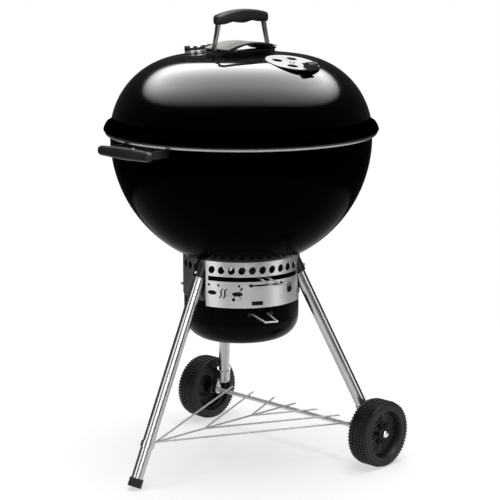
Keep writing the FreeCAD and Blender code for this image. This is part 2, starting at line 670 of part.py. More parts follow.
def grate_flap(side, turn):
    under = "(grate_z - grate_wire * 1.6)"
    spot = "(hinge_x + 2 * grate_wire + 0.5)"
    pieces = []
    count = 22
    for index in range(count):
        y = "(grate_pitch * %.1f)" % (index - (count - 1) / 2)
        end = "sqrt(pow(grate_radius; 2) - pow(%s; 2))" % y
        pieces.append(cylinder("flap_%s_bar%d" % (side, index), "grate_wire", "%s - %s" % (end, spot),
                               frame(0, 0, 0, (0, 0, 1), turn), frame(spot, y, "grate_z", (0, 1, 0), 90)))
    edge = "acos(%s / grate_radius)" % spot
    pieces.append(ring("flap_%s_arc" % side, "grate_radius", "grate_wire",
                       frame(0, 0, under, (0, 0, 1), "%d deg - %s" % (turn, edge)), sweep="2 * " + edge))
    end = "sqrt(pow(grate_radius; 2) - pow(%s; 2))" % spot
    pieces.append(cylinder("flap_%s_cross" % side, "grate_wire", "2 * " + end,
                           frame(0, 0, 0, (0, 0, 1), turn), frame(spot, end, under, (1, 0, 0), 90)))
    node("grate_flap_" + side, fuse("grate_flap_" + side, *pieces))


def charcoal_grate():
    pieces = [ring("coal_ring", "coal_radius", "coal_wire", frame(0, 0, "coal_z"))]
    count = 17
    for index in range(count):
        y = "(coal_pitch * %d)" % (index - count // 2)
        end = "sqrt(pow(coal_radius; 2) - pow(%s; 2))" % y
        height = "(coal_z + coal_wire * 1.6)"
        pieces.append(rod("coal_bar%d" % index, ("-" + end, y, height), (end, y, height), "coal_wire"))
    for index, side in enumerate((-1, 1)):
        x, end = "(%d * coal_tie)" % side, "sqrt(pow(coal_radius; 2) - pow(coal_tie; 2))"
        pieces.append(rod("coal_tie%d" % index, (x, "-" + end, "coal_z"), (x, end, "coal_z"), "coal_wire"))
    node("charcoal_grate", fuse("charcoal_grate", *pieces))


def grate_supports():
    """Tabs welded inside the bowl, four for each grate."""
    tabs = []
    grates = (("coal", "coal_radius", "coal_z - coal_wire - gap", 9, (45, 135, 225, 315)),
              ("cook", "grate_radius", "grate_z - grate_wire * 2.6 - gap", 8, (62, 118, 242, 298)))
    for name, radius, top, tall, azimuths in grates:
        for index, azimuth in enumerate(azimuths):
            label = "%s_tab%d" % (name, index)
            blank = box(label + "_blank", 60, 14, tall,
                        frame(0, 0, 0, (0, 0, 1), azimuth),
                        frame("%s - tab_gap + 30" % radius, 0, "%s - %s" % (top, tall)))
            inside = ball(label + "_bowl", "bowl_radius - wall - gap", frame(0, 0, BOWL_Z))
            tabs.append(common(label, blank, inside))
    node("grate_supports", group("grate_supports", *tabs))


# ---- air control --------------------------------------------------------------------------

def sweep():
    outer = "(bowl_radius - wall - gap)"
    inner = "(%s - blade_sheet)" % outer
    hub, tip = "blade_hub", "(slot_outer + slot_width)"
    blades = []
    for index in range(3):
        blade = turned("blade%d" % index, [
            (hub, sphere_drop(outer, hub)), (tip, sphere_drop(outer, tip), outer, 1),
            (tip, sphere_drop(inner, tip)), (hub, sphere_drop(inner, hub), inner, -1)], "blade_sweep")
        place(blade, frame(0, 0, 0, (0, 0, 1), "lever_azimuth + %d" % (60 + index * 120)))
        blades.append(blade)
    floor = "(%s - %s)" % (BOWL_Z, outer)
    cap = cylinder("sweep_hub", 18, 5, frame(0, 0, "%s + 1.1" % floor))
    shaft = cylinder("sweep_shaft", "shaft_radius", "%s + 3 - slot_z + shaft_tail" % floor,
                     frame(0, 0, "slot_z - shaft_tail"))
    node("sweep_blades", fuse("sweep_blades", cap, shaft, *blades))


def lever():
    turn = frame(0, 0, "slot_z", (0, 0, 1), "lever_azimuth")
    collar = cut("lever_collar", cylinder("collar_blank", "shaft_radius + 5", 8, frame(0, 0, "slot_z - 4")),
                 cylinder("collar_bore", "shaft_radius + shaft_gap", 30, frame(0, 0, "slot_z - 15")))
    arm = box("lever_arm", "ring_radius - arm_inset - shaft_radius - 3", "arm_width", 4, turn,
              frame("(ring_radius - arm_inset + shaft_radius + 3) / 2", 0, -2))
    root, tip = "(ring_radius - arm_inset - 4)", "(lever_reach - lever_wire)"
    path = [(root, "-8.5", 0), (tip, "-lever_loop", 0), (tip, "lever_loop", 0), (root, "8.5", 0)]
    loop = fuse("lever_frame", *wire_path("lever_frame", path, "lever_wire", (0, 0)))
    place(loop, turn)
    node("sweep_lever", fuse("sweep_lever", collar, arm, loop))


# ---- ash housing --------------------------------------------------------------------------

def oval_cutters(name, radius):
    """Leaning cylinders, which leave slanted ovals in the thin wall."""
    made = []
    for index in range(10):
        turn = frame(0, 0, "hole_z", (0, 0, 1), "hole_start + hole_step * %d" % index)
        tilt = frame("ring_radius", 0, 0, (1, 0, 0), -30)
        made.append(cylinder("%s%d" % (name, index), radius, 60, turn, tilt,
                             frame(0, 0, 0, (0, 1, 0), 60), frame(0, 0, -30)))
    return made


def round_cutters(name, radius):
    return [cylinder("%s%d" % (name, index), radius, 40,
                     frame(0, 0, "hole_z", (0, 0, 1), "hole_start + hole_step * %d" % index),
                     frame("ring_radius - 20", 0, 0, (0, 1, 0), 90)) for index in range(11, 35)]


def leg_cutters(name):
    return [along_leg(side, "socket_z - 70", "socket_z + 40", "socket_radius + gap * 2",
                      "%s_%s" % (name, side)) for side in LEGS]


def under_bowl(name):
    return ball(name, "bowl_radius + gap", frame(0, 0, BOWL_Z))


def slot_cutter(name, extra):
    return cylinder(name, "ring_radius + 20", "slot_tall + 2 * %s" % extra,
                    frame(0, 0, "slot_z - slot_tall / 2 - %s" % extra, (0, 0, 1), "slot_start - %s" % extra),
                    sweep="slot_sweep + 2 * %s" % extra)


def ash_ring():
    tall = "(bead_z - ring_low)"
    shell = cut("ring_shell", cylinder("ring_outer", "ring_radius", tall, frame(0, 0, "ring_low")),
                cylinder("ring_inner", "ring_radius - ring_sheet", "%s + 20" % tall,
                         frame(0, 0, "ring_low - 10")))
    tools = [under_bowl("ring_bowl"), slot_cutter("ring_slot", "1.5")]
    tools += oval_cutters("ring_oval", "hole_radius + 1") + round_cutters("ring_hole", "hole_radius")
    tools += leg_cutters("ring_leg")
    node("ash_ring", cut("ash_ring", shell, *tools))


def front_panel():
    tall = "(bead_z - panel_low)"
    start = frame(0, 0, "panel_low", (0, 0, 1), "panel_start")
    shell = cut("panel_shell",
                cylinder("panel_outer", "ring_radius + gap + panel_sheet", tall, start, sweep="panel_sweep"),
                cylinder("panel_inner", "ring_radius + gap", "%s + 20" % tall, frame(0, 0, "panel_low - 10")))
    tools = [under_bowl("panel_bowl"), slot_cutter("panel_slot", "0")]
    tools += oval_cutters("panel_oval", "hole_radius") + leg_cutters("panel_leg")
    node("front_panel", cut("front_panel", shell, *tools))


def bucket():
    inner = "(bucket_radius - bucket_sheet)"
    floor = "bucket_low + bucket_sheet"
    body = turned("ash_bucket", [
        (0, "bucket_low"), ("bucket_radius - bucket_knuckle", "bucket_low"),
        ("bucket_radius", "bucket_low + bucket_knuckle", "bucket_knuckle", 1),
        ("bucket_radius", "bucket_top"),
        (inner, "bucket_top"), (inner, "bucket_low + bucket_knuckle"),
        ("bucket_radius - bucket_knuckle", floor, "bucket_knuckle - bucket_sheet", -1), (0, floor)])
    node("ash_bucket", body)
    turn = frame(0, 0, "bail_z", (0, 0, 1), "bail_azimuth")
    seat = "(sqrt(pow(bucket_radius; 2) - pow(ear_offset - ear_radius; 2)) + gap)"
    root, tip = "(bucket_radius + 3.5)", "(bail_reach - bail_wire)"
    half = "(ear_offset - ear_radius - gap - bail_wire)"
    ears = []
    for index, side in enumerate((-1, 1)):
        y = "(%d * ear_offset)" % side
        foot = cylinder("ear_foot%d" % index, "ear_radius", 9, turn, frame(seat, y, 0, (0, 1, 0), 90))
        bore = cylinder("ear_bore%d" % index, "bail_wire + shaft_gap", 20, turn,
                        frame(root, y + " - 10", 0, (-1, 0, 0), 90))
        ears.append(cut("ear%d" % index, foot, bore))
    node("bucket_ears", group("bucket_ears", *ears))
    path = [(root, "-(ear_offset + 3)", 0), (root, "-" + half, 0), (tip, "-bail_half", 0),
            (tip, "bail_half", 0), (root, half, 0), (root, "ear_offset + 3", 0)]
    bail = fuse("bail_frame", *wire_path("bail_frame", path, "bail_wire", (180, 0, 0, 180)))
    place(bail, turn)
    node("bucket_handle", bail)


def bucket_clips():
    """Spring clips through the housing's lower edge that hold the bucket."""
    clips = []
    for index, azimuth in enumerate((0, 120)):
        turn = frame(0, 0, "ring_low + 8", (0, 0, 1), azimuth)
        clips.append(cylinder("clip_head%d" % index, 4, 9, turn,
                              frame("ring_radius + gap", 0, 0, (0, 1, 0), 90)))
    node("bucket_clips", group("bucket_clips", *clips))


# ---- stand --------------------------------------------------------------------------------

FOOT_Z = "(cap_radius * sin(leg_tilt) - 2)"


def stand():
    top = "(socket_z + 5)"
    lows = {"front": "(%s + 4)" % FOOT_Z, "wheel_left": "wheel_leg_end", "wheel_right": "wheel_leg_end"}
    sockets, bolts = [], []
    for side, (azimuth, heading) in LEGS.items():
        low = lows[side]
        tube = cut("leg_" + side,
                   along_leg(side, low, top, "leg_radius", "tube_out_" + side),
                   along_leg(side, "%s - 20" % low, "%s + 20" % top, "leg_radius - leg_wall",
                             "tube_in_" + side))
        node("leg_" + side, tube)
        sleeve = along_leg(side, "socket_z + 30 - socket_length", "socket_z + 30", "socket_radius",
                           "socket_out_" + side)
        bore = along_leg(side, "socket_z - 60", "%s + 1" % top, "leg_radius + gap", "socket_in_" + side)
        sockets.append(cut("socket_" + side, sleeve, bore, under_bowl("socket_bowl_" + side)))
        x, y, z = leg_point(azimuth, heading, "socket_z - 14")
        bolts.append(cylinder("socket_bolt_" + side, 4, 3, frame(x, y, z, (0, 0, 1), heading),
                              frame(0, 0, 0, (0, 1, 0), "90 - leg_tilt"), frame(0, 0, "socket_radius + gap")))
    node("leg_sockets", group("leg_sockets", *sockets))
    node("socket_bolts", group("socket_bolts", *bolts))
    cap = along_leg("front", FOOT_Z, "%s + cap_length * cos(leg_tilt)" % FOOT_Z, "cap_radius", "cap_blank")
    bore = along_leg("front", lows["front"] + " - 0.5", "%s + 100" % FOOT_Z, "leg_radius + gap", "cap_bore")
    ground = box("cap_ground", 120, 120, 50, frame(leg_point("180", "180", FOOT_Z)[0], 0, -50))
    node("foot_cap", cut("foot_cap", cap, bore, ground))


def axle():
    reach = "(wheel_y + wheel_width / 2 - 6)"
    node("axle", cylinder("axle", "axle_radius", "2 * " + reach,
                          frame("axle_x", reach, "wheel_radius", (1, 0, 0), 90)))
    for side, sign in (("left", 1), ("right", -1)):
        leg = "wheel_" + side
        azimuth, heading = LEGS[leg]
        foot = leg_point(azimuth, heading, "wheel_leg_end - 4")
        sleeve = along_leg(leg, "wheel_leg_end - 4", "wheel_leg_end + 26", "leg_radius + gap + 1.5",
                           "sleeve_" + side)
        plate_y = "%d * (wheel_y - wheel_width / 2 - 8)" % sign
        plate = padded("plate_" + side, "XZ_Plane", [
            ("axle_x - 11", "wheel_radius"), ("axle_x + 11", "wheel_radius", "11.05", 1),
            ("%s + 17" % foot[0], "wheel_leg_end + 6"), ("%s - 13" % foot[0], "wheel_leg_end + 12")],
            "12", frame(0, plate_y))
        bore = along_leg(leg, "wheel_leg_end - 40", "wheel_leg_end + 60", "leg_radius + gap",
                         "sleeve_bore_" + side)
        hole = cylinder("plate_bore_" + side, "axle_radius + shaft_gap", 600,
                        frame("axle_x", 300, "wheel_radius", (1, 0, 0), 90))
        whole = fuse("bracket_" + side, sleeve, plate)
        node("axle_bracket_" + side, cut("axle_bracket_" + side, whole, bore, hole))


def wheel(side, sign):
    half = "wheel_width / 2"
    groove = []
    for centre in (0.30, 0.50, 0.70):
        groove += [("wheel_radius", "wheel_width * %.2f - 1.5" % centre),
                   ("wheel_radius - groove_depth", "wheel_width * %.2f - 1" % centre),
                   ("wheel_radius - groove_depth", "wheel_width * %.2f + 1" % centre),
                   ("wheel_radius", "wheel_width * %.2f + 1.5" % centre)]
    outline = [("axle_radius + shaft_gap", "4"), ("hub_radius", "4"), ("hub_radius", "16"),
               ("wheel_radius * 0.66", "16"), ("wheel_radius * 0.66", "2"), ("wheel_radius * 0.72", 0),
               ("wheel_radius - tyre_edge", 0),
               ("wheel_radius", "tyre_edge", "tyre_edge + 0.0001", 1)] + groove + [
               ("wheel_radius", "wheel_width - tyre_edge"),
               ("wheel_radius - tyre_edge", "wheel_width", "tyre_edge + 0.0001", 1),
               ("wheel_radius * 0.72", "wheel_width"), ("wheel_radius * 0.66", "wheel_width - 2"),
               ("wheel_radius * 0.66", "wheel_width - 27"), ("hub_radius", "wheel_width - 27"),
               ("hub_radius", "wheel_width - 7"), ("axle_radius + shaft_gap", "wheel_width - 7")]
    body = turned("wheel_%s_body" % side, outline)
    windows = []
    for index in range(5):
        angle = frame(0, 0, 0, (0, 0, 1), index * TAU / 5)
        window = cut("wheel_%s_gap%d" % (side, index),
                     cylinder("wheel_%s_pie%d" % (side, index), "wheel_radius * 0.6", "wheel_width", angle,
                              sweep="48"),
                     cylinder("wheel_%s_core%d" % (side, index), "hub_radius + 6", "wheel_width + 2"))
        windows.append(window)
    spot = frame("axle_x", "%d * (wheel_y - %s)" % (sign, half), "wheel_radius", (1, 0, 0), -90 * sign)
    whole = cut("wheel_" + side, body, *windows)
    place(whole, spot)
    node("wheel_" + side, whole)
    outer = frame("axle_x", "%d * (wheel_y + %s)" % (sign, half), "wheel_radius", (1, 0, 0), -90 * sign)
    cap = cut("hub_cap_" + side, cylinder("hub_cap_%s_blank" % side, "axle_radius + 3", "8"),
              cylinder("hub_cap_%s_bore" % side, "axle_radius", "4"))
    place(cap, outer, frame(0, 0, "gap - 7"))
    node("hub_cap_" + side, cap)


def wire_rack():
    """Spine from the front leg to the axle, with three nested V's whose ends lie on the axle."""
    end_x, end_z = "(axle_x + 22)", "(wheel_radius + axle_radius + gap + rack_wire)"
    clip = "(leg_radius + gap + 2)"
    leg_x = leg_point("180", "180", "rack_tip_z")[0]
    tip_x = "(%s + (%s + gap + rack_wire) / cos(leg_tilt))" % (leg_x, clip)
    tip = (tip_x, 0, "rack_tip_z")
    pieces = [rod("rack_spine", tip, (end_x, 0, end_z), "rack_wire")]
    length = "(%s - %s)" % (end_x, tip_x)
    for index in range(3):
        share = "%.2f" % (0.01 + 0.33 * index)
        x = "(%s * %s + %s)" % (length, share, tip_x)
        z = "(rack_tip_z + (%s - rack_tip_z) * %s)" % (end_z, share)
        for side, sign in enumerate((-1, 1)):
            y = "(%d * rack_half * %d / 3)" % (sign, 3 - index)
            pieces.append(rod("rack_wire%d_%d" % (index, side), (x, 0, z), (end_x, y, end_z), "rack_wire"))
    node("wire_rack", fuse("wire_rack", *pieces))
    hook = cut("rack_hook", along_leg("front", "rack_tip_z - 6", "rack_tip_z + 6", clip, "hook_out"),
               along_leg("front", "rack_tip_z - 30", "rack_tip_z + 30", "leg_radius + gap", "hook_in"))
    node("rack_clip", hook)


def build():
    lid()
    lid_vent()
    thermometer()
    lid_handle()
    bowl()
    side_handle("front", 180)
    side_handle("wheel", 0)
    cooking_grate()
    grate_flap("left", 180)
    grate_flap("right", 0)
    charcoal_grate()
    grate_supports()
    sweep()
    lever()
    ash_ring()
    front_panel()
    bucket()
    bucket_clips()
    stand()
    axle()
    wheel("left", 1)
    wheel("right", -1)
    wire_rack()
    doc.recompute()


def write():
    failed = [thing.Name for thing in doc.Objects if {"Invalid", "Error"} & set(thing.State)]
    if failed:
        raise RuntimeError("failed: " + ", ".join(failed))
    for each in nodes:
        if each.Shape.isNull() or not each.Shape.isValid():
            raise RuntimeError("%s has no valid shape" % each.Label)
    os.makedirs("parts", exist_ok=True)
    for each in nodes:
        each.Shape.exportStep("parts/%s.step" % each.Label)
        print(each.Label, len(each.Shape.Solids), round(each.Shape.Volume))


build()
write()
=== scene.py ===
# %% [markdown]
# # Kettle charcoal grill
# A round charcoal grill: black enamelled lid and bowl, an ash housing with an air lever, an
# ash bucket, and a three-legged stand on two wheels.  Plain solids give every working part
# its true size.  This lesson gives each part its finish, and builds the moulded pieces
# (wheels, grips, screws, printed symbols) whose fine shape the plain solids lack.

# %% Load the frame
import bpy
import math
from mathutils import Matrix, Vector


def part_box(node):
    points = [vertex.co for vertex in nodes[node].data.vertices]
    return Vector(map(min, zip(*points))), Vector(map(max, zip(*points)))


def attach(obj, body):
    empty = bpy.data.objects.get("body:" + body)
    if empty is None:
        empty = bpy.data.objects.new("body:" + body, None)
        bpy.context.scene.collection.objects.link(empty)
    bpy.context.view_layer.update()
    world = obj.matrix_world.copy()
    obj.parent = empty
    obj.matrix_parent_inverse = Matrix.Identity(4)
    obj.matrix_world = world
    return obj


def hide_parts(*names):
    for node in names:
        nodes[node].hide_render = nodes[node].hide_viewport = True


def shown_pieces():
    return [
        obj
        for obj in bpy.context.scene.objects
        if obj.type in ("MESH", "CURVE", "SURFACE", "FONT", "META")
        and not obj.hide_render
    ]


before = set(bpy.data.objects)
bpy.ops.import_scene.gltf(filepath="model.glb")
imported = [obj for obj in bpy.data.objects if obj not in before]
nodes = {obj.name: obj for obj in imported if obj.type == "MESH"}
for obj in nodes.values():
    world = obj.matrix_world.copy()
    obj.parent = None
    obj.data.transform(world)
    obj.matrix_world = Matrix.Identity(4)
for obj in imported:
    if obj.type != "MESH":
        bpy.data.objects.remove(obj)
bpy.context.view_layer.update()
MM = 0.001

# %% [markdown]
# ## Writing shaders as sums
# A node graph is easier to read when it is written like arithmetic.  `Wire` holds one output
# socket, and its operators add the Math nodes.  `Finish` holds one material: `node` adds any
# node, and `vary` plugs a value that changes over the surface into the main shader.

# %% Socket arithmetic
class Wire:
    def __init__(self, finish, socket):
        self.finish, self.socket = finish, socket

    def math(self, operation, other):
        return self.finish.node("ShaderNodeMath", {"operation": operation}, {0: self, 1: other})

    def __add__(self, other): return self.math("ADD", other)
    def __sub__(self, other): return self.math("SUBTRACT", other)
    def __mul__(self, other): return self.math("MULTIPLY", other)
    def above(self, edge): return self.math("GREATER_THAN", edge)


class Finish:
    def __init__(self, name, **plain):
        self.material = bpy.data.materials.new(name)
        self.material.use_nodes = True
        self.tree = self.material.node_tree
        self.shader = self.tree.nodes["Principled BSDF"]
        for socket, number in plain.items():
            self.shader.inputs[socket.replace("_", " ")].default_value = number

    def node(self, kind, settings=None, inputs=None, output=0):
        made = self.tree.nodes.new(kind)
        for name, setting in (settings or {}).items():
            setattr(made, name, setting)
        for name, given in (inputs or {}).items():
            if isinstance(given, Wire):
                self.tree.links.new(given.socket, made.inputs[name])
            else:
                made.inputs[name].default_value = given
        return Wire(self, made.outputs[output])

    def vary(self, socket, wire):
        self.tree.links.new(wire.socket, self.shader.inputs[socket])

    def place(self):
        return self.node("ShaderNodeTexCoord", output=3)

    def stretched(self, scale):
        """Coordinates multiplied along each axis, so that noise turns into streaks."""
        return self.node("ShaderNodeVectorMath", {"operation": "MULTIPLY"},
                         {0: self.place(), 1: scale})

    def noise(self, scale, where=None, detail=3.0, rough=0.5):
        return self.node("ShaderNodeTexNoise", None,
                         {"Vector": where or self.place(), "Scale": scale, "Detail": detail,
                          "Roughness": rough})

    def spread(self, wire, low, high):
        """Remap a noise value, which mostly lies between 0.3 and 0.7, to the range low..high."""
        return self.node("ShaderNodeMapRange", None, {0: wire, 1: 0.3, 2: 0.7, 3: low, 4: high})

    def shade(self, wire, dark, light):
        """Blend two colours by a value."""
        return self.node("ShaderNodeMix", {"data_type": "RGBA"},
                         {0: wire, 6: (*dark, 1), 7: (*light, 1)}, output=2)

    def bump(self, height, depth):
        """Raise the surface by a depth in metres where the height value is 1."""
        self.vary("Normal", self.node("ShaderNodeBump", None,
                                      {"Height": height, "Distance": depth, "Strength": 1.0}))

    def dress(self, *names):
        for name in names:
            for holder in nodes[name].material_slots:
                holder.material = self.material


# %% [markdown]
# ## Porcelain enamel
# The lid and bowl are steel dipped in glass enamel and fired.  Real enamel is almost black
# under a very smooth skin, with a faint ripple like orange peel and a little dust that only
# shows as a change of gloss.  So the colour hardly changes, and the detail is in the
# roughness and in a tiny bump.

# %% Enamel
def enamel(name, gloss, rough, tone=0.0015):
    finish = Finish(name, IOR=1.5, Specular_IOR_Level=gloss)
    peel = finish.noise(220, detail=2)
    cloud = finish.noise(5, detail=6)
    finish.vary("Base Color", finish.shade(cloud, (tone * 0.7,) * 3, (tone * 1.4, tone * 1.3, tone * 1.4)))
    finish.vary("Roughness", finish.spread(cloud, rough * 0.8, rough * 1.4))
    finish.bump(peel, 0.00002)
    return finish


def painted_light_band(finish, low, high, tone, **plain):
    """Another finish between two heights, a band of painted light: a grey metal band gives a painted
    highlight line, and a matte black band gives painted shade.
    """
    # The band's colour is painted light, lighter or darker than the enamel around it.
    paint = finish.shade(finish.noise(160, detail=4), (tone * 0.7,) * 3, (tone * 1.3,) * 3)
    sockets = {socket.replace("_", " "): number for socket, number in plain.items()}
    band_shader = finish.node("ShaderNodeBsdfPrincipled", None, {"Base Color": paint, **sockets})
    height = finish.node("ShaderNodeSeparateXYZ", None, {0: finish.place()}, 2)
    inside = height.above(low) - height.above(high)
    base = Wire(finish, finish.shader.outputs[0])
    blend = finish.node("ShaderNodeMixShader", None, {0: inside, 1: base, 2: band_shader})
    finish.tree.links.new(blend.socket, finish.tree.nodes["Material Output"].inputs["Surface"])


lid_enamel = enamel("lid_enamel", 0.10, 0.09, 0.0002)
# The lid's flare between these heights is matte black with no gloss: painted shade that hides its reflection.
painted_light_band(lid_enamel, 0.7, 0.7575, 0.0001, Roughness=1.0, Specular_IOR_Level=0.0)
bowl_enamel = enamel("bowl_enamel", 0.004, 0.14, 0.0012)
# The bowl's bead between these heights is grey metal: a painted highlight line under the lid.
painted_light_band(bowl_enamel, 0.7195, 0.7275, 0.42, Roughness=0.38, Metallic=1.0)
bucket_enamel = enamel("bucket_enamel", 0.045, 0.22)
lid_enamel.dress("lid_shell")
bowl_enamel.dress("bowl_shell")
bucket_enamel.dress("ash_bucket")
print("enamels:", lid_enamel.material.name, bowl_enamel.material.name, bucket_enamel.material.name)

# %% [markdown]
# ## Moulded nylon
# Grips, sockets and wheels are black plastics.  A mould leaves a fine leathery grain of about
# half a millimetre, and hands polish it unevenly.

# %% Plastics
def plastic(name, tone, rough, grain=1800, depth=0.00006):
    finish = Finish(name, Specular_IOR_Level=0.3)
    fine = finish.noise(grain, detail=2)
    worn = finish.noise(35, detail=4)
    finish.vary("Base Color", finish.shade(worn, (tone * 0.7,) * 3, (tone * 1.4,) * 3))
    finish.vary("Roughness", finish.spread(worn, rough - 0.08, rough + 0.08))
    finish.bump(fine, depth)
    return finish


nylon = plastic("black_nylon", 0.008, 0.40)
socket_paint = plastic("socket_black", 0.006, 0.35, 900, 0.00004)
wheel_plastic = plastic("wheel_plastic", 0.005, 0.46, 1200, 0.00006)
nylon.dress("lid_handle_base")
socket_paint.dress("leg_sockets", "side_handle_front_bracket", "side_handle_wheel_bracket")
print("plastics:", nylon.material.name, socket_paint.material.name, wheel_plastic.material.name)

# %% [markdown]
# ## Metals
# Every metal here is the same idea: metallic 1, a tint, and a roughness that follows how it
# was worked.  Streaks come from noise that is squeezed along the direction of the brush.

# %% Metal maker
def metal(name, tint, rough, spread=0.08, scale=60, stretch=(1, 1, 1), depth=0.00001, dark=0.85,
          shine=1.0):
    finish = Finish(name, Metallic=shine)
    streak = finish.noise(scale, finish.stretched(stretch), detail=5, rough=0.6)
    cloud = finish.noise(9, detail=4)
    low = tuple(each * dark for each in tint)
    finish.vary("Base Color", finish.shade(finish.spread(streak * 0.5 + cloud * 0.5, 0, 1), low, tint))
    finish.vary("Roughness", finish.spread(streak, rough - spread / 2, rough + spread))
    finish.bump(streak, depth)
    return finish


def around(finish, fine, along):
    """Coordinates for a brush that ran round the vertical axis."""
    x, y, z = (finish.node("ShaderNodeSeparateXYZ", None, {0: finish.place()}, axis) for axis in range(3))
    angle = y.math("ARCTAN2", x)
    return finish.node("ShaderNodeCombineXYZ", None, {0: angle * along, 1: z * fine, 2: 0.0})


def brushed_round(name, tint, rough, fine=900, along=6, dark=0.82):
    finish = Finish(name, Metallic=1.0)
    streak = finish.noise(1.0, around(finish, fine, along), detail=4, rough=0.6)
    cloud = finish.noise(14, detail=4)
    low = tuple(each * dark for each in tint)
    finish.vary("Base Color", finish.shade(finish.spread(streak * 0.4 + cloud * 0.6, 0, 1), low, tint))
    finish.vary("Roughness", finish.spread(streak, rough - 0.06, rough + 0.08))
    finish.bump(streak, 0.00002)
    return finish


brushed_round("panel_steel", (0.86, 0.85, 0.83), 0.34).dress("front_panel")
brushed_round("ring_steel", (0.20, 0.20, 0.20), 0.40, fine=200, along=20, dark=0.6).dress("ash_ring")
leg_metal = metal("leg_aluminium", (0.52, 0.52, 0.52), 0.24, 0.05, 40, (1, 1, 0.05), depth=0.0000005)
leg_metal.dress("leg_front", "leg_wheel_left", "leg_wheel_right", "axle_bracket_left", "axle_bracket_right",
                "rack_clip")
metal("shield_steel", (0.30, 0.295, 0.28), 0.45, 0.1, 260, dark=0.8, depth=0.00006).dress("lid_heat_shield")
strap_metal = metal("strap_steel", (0.20, 0.195, 0.19), 0.36, 0.06, 60, (1, 1, 0.05))
bright = metal("bright_steel", (0.82, 0.82, 0.82), 0.18, 0.1, 120)
bright.dress("thermometer_probe", "thermometer_nut", "bucket_clips")
socket_paint.dress("bucket_ears")
vent_metal = metal("vent_aluminium", (0.72, 0.72, 0.72), 0.30, 0.06, 30, depth=0.000004, dark=0.94)
vent_metal.dress("lid_vent_disc", "lid_vent_rivet")
grate = metal("grate_steel", (0.72, 0.70, 0.66), 0.22, 0.15, 120, dark=0.7)
grate.dress("cooking_grate", "grate_flap_left", "grate_flap_right")
metal("coal_steel", (0.30, 0.27, 0.25), 0.5, 0.15, 90, dark=0.5).dress("charcoal_grate", "grate_supports")
metal("sweep_steel", (0.45, 0.45, 0.46), 0.4, 0.1, 120, dark=0.7).dress("sweep_blades")
wire_metal = metal("wire_steel", (0.62, 0.61, 0.60), 0.30, 0.08, 90, shine=0.7)
wire_metal.dress("sweep_lever", "bucket_handle", "axle")
metal("rack_steel", (0.55, 0.55, 0.55), 0.34, 0.1, 90, dark=0.75, shine=0.6).dress("wire_rack")
gauge_metal = metal("gauge_chrome", (0.80, 0.80, 0.80), 0.15, 0.08, 250)
gauge_metal.dress("thermometer_case")
print("finishes so far:", len(bpy.data.materials))

# %% [markdown]
# ## Thermometer face
# The face is white enamel with a band of soft speckle, the pointer is red paint, and the
# window is thin clear glass.

# %% Thermometer finishes
dial = Finish("dial_face", Roughness=0.5)
dial.vary("Base Color", dial.shade(dial.noise(400), (0.70, 0.69, 0.66), (0.84, 0.83, 0.80)))
dial.bump(dial.noise(900), 0.00002)
dial.dress("thermometer_dial")
pointer_paint = Finish("pointer_red", Roughness=0.35)
pointer_paint.vary("Base Color", pointer_paint.shade(pointer_paint.noise(300), (0.45, 0.02, 0.01),
                                                     (0.6, 0.04, 0.02)))
pointer_paint.dress("thermometer_pointer")
glass = Finish("gauge_glass", Transmission_Weight=1.0, IOR=1.45)
glass.vary("Roughness", glass.spread(glass.noise(60), 0.01, 0.05))
glass.dress("thermometer_glass")
print_ink = Finish("print_ink", Specular_IOR_Level=0.1)
print_ink.vary("Base Color", print_ink.shade(print_ink.noise(700), (0.002,) * 3, (0.006,) * 3))
print_ink.vary("Roughness", print_ink.spread(print_ink.noise(300), 0.4, 0.6))
print("gauge finishes:", dial.material.name, pointer_paint.material.name, glass.material.name)

# %% [markdown]
# ## Meshes from rings
# Wheels, grips, caps and screws are all skins stretched over rings of points.  `skin` joins
# ring to ring; `lathe` makes the rings by turning an outline about an axis.

# %% Ring helpers
def finish_piece(name, vertices, faces, material, body, slot, sharp=32):
    mesh = bpy.data.meshes.new(name)
    mesh.from_pydata([tuple(each) for each in vertices], [], faces)
    mesh.validate()
    mesh.materials.append(material)
    mesh.shade_smooth()
    mesh.set_sharp_from_angle(angle=math.radians(sharp))
    piece = bpy.data.objects.new(name, mesh)
    bpy.context.scene.collection.objects.link(piece)
    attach(piece, body)
    return piece


def skin(rings, closed=False, capped=True):
    """Vertices and faces over rings of equally many points."""
    count = len(rings[0])
    vertices = [point for ring in rings for point in ring]
    faces = []
    spans = len(rings) if closed else len(rings) - 1
    for level in range(spans):
        low, high = level * count, ((level + 1) % len(rings)) * count
        for index in range(count):
            after = (index + 1) % count
            faces.append((low + index, low + after, high + after, high + index))
    if capped and not closed:
        faces.append(tuple(reversed(range(count))))
        faces.append(tuple(range(len(vertices) - count, len(vertices))))
    return vertices, faces


def joined(*shapes):
    vertices, faces = [], []
    for some, others in shapes:
        base = len(vertices)
        vertices += some
        faces += [tuple(base + index for index in face) for face in others]
    return vertices, faces


def lathe(outline, frame_matrix, segments=64, closed=True, shape=lambda angle: 1.0):
    """Outline points (radius, height) turned about the matrix's Z axis."""
    rings = []
    for radius, height in outline:
        ring = []
        for index in range(segments):
            angle = math.tau * index / segments
            reach = radius * shape(angle)
            ring.append(frame_matrix @ Vector((reach * math.cos(angle), reach * math.sin(angle), height)))
        rings.append(ring)
    return skin(rings, closed=closed, capped=not closed)


def facing(direction, origin):
    """Matrix whose Z axis points along a direction, at a point."""
    return Matrix.Translation(origin) @ Vector(direction).to_track_quat("Z", "Y").to_matrix().to_4x4()


sample = lathe([(1, 0), (1, 1), (0.9, 1), (0.9, 0)], Matrix.Identity(4), 12)
print("a short tube of twelve sides:", len(sample[0]), "points and", len(sample[1]), "faces")

# %% [markdown]
# ## Wheels
# The wheels are blow-moulded in one piece: rows of small tread blocks, a shoulder with fine
# ribs, a wide ring on the side wall, and a sunken centre with ribbed spokes.  The carcass is a
# lathe, the blocks are placed by two loops, and the spokes are tapered bars.

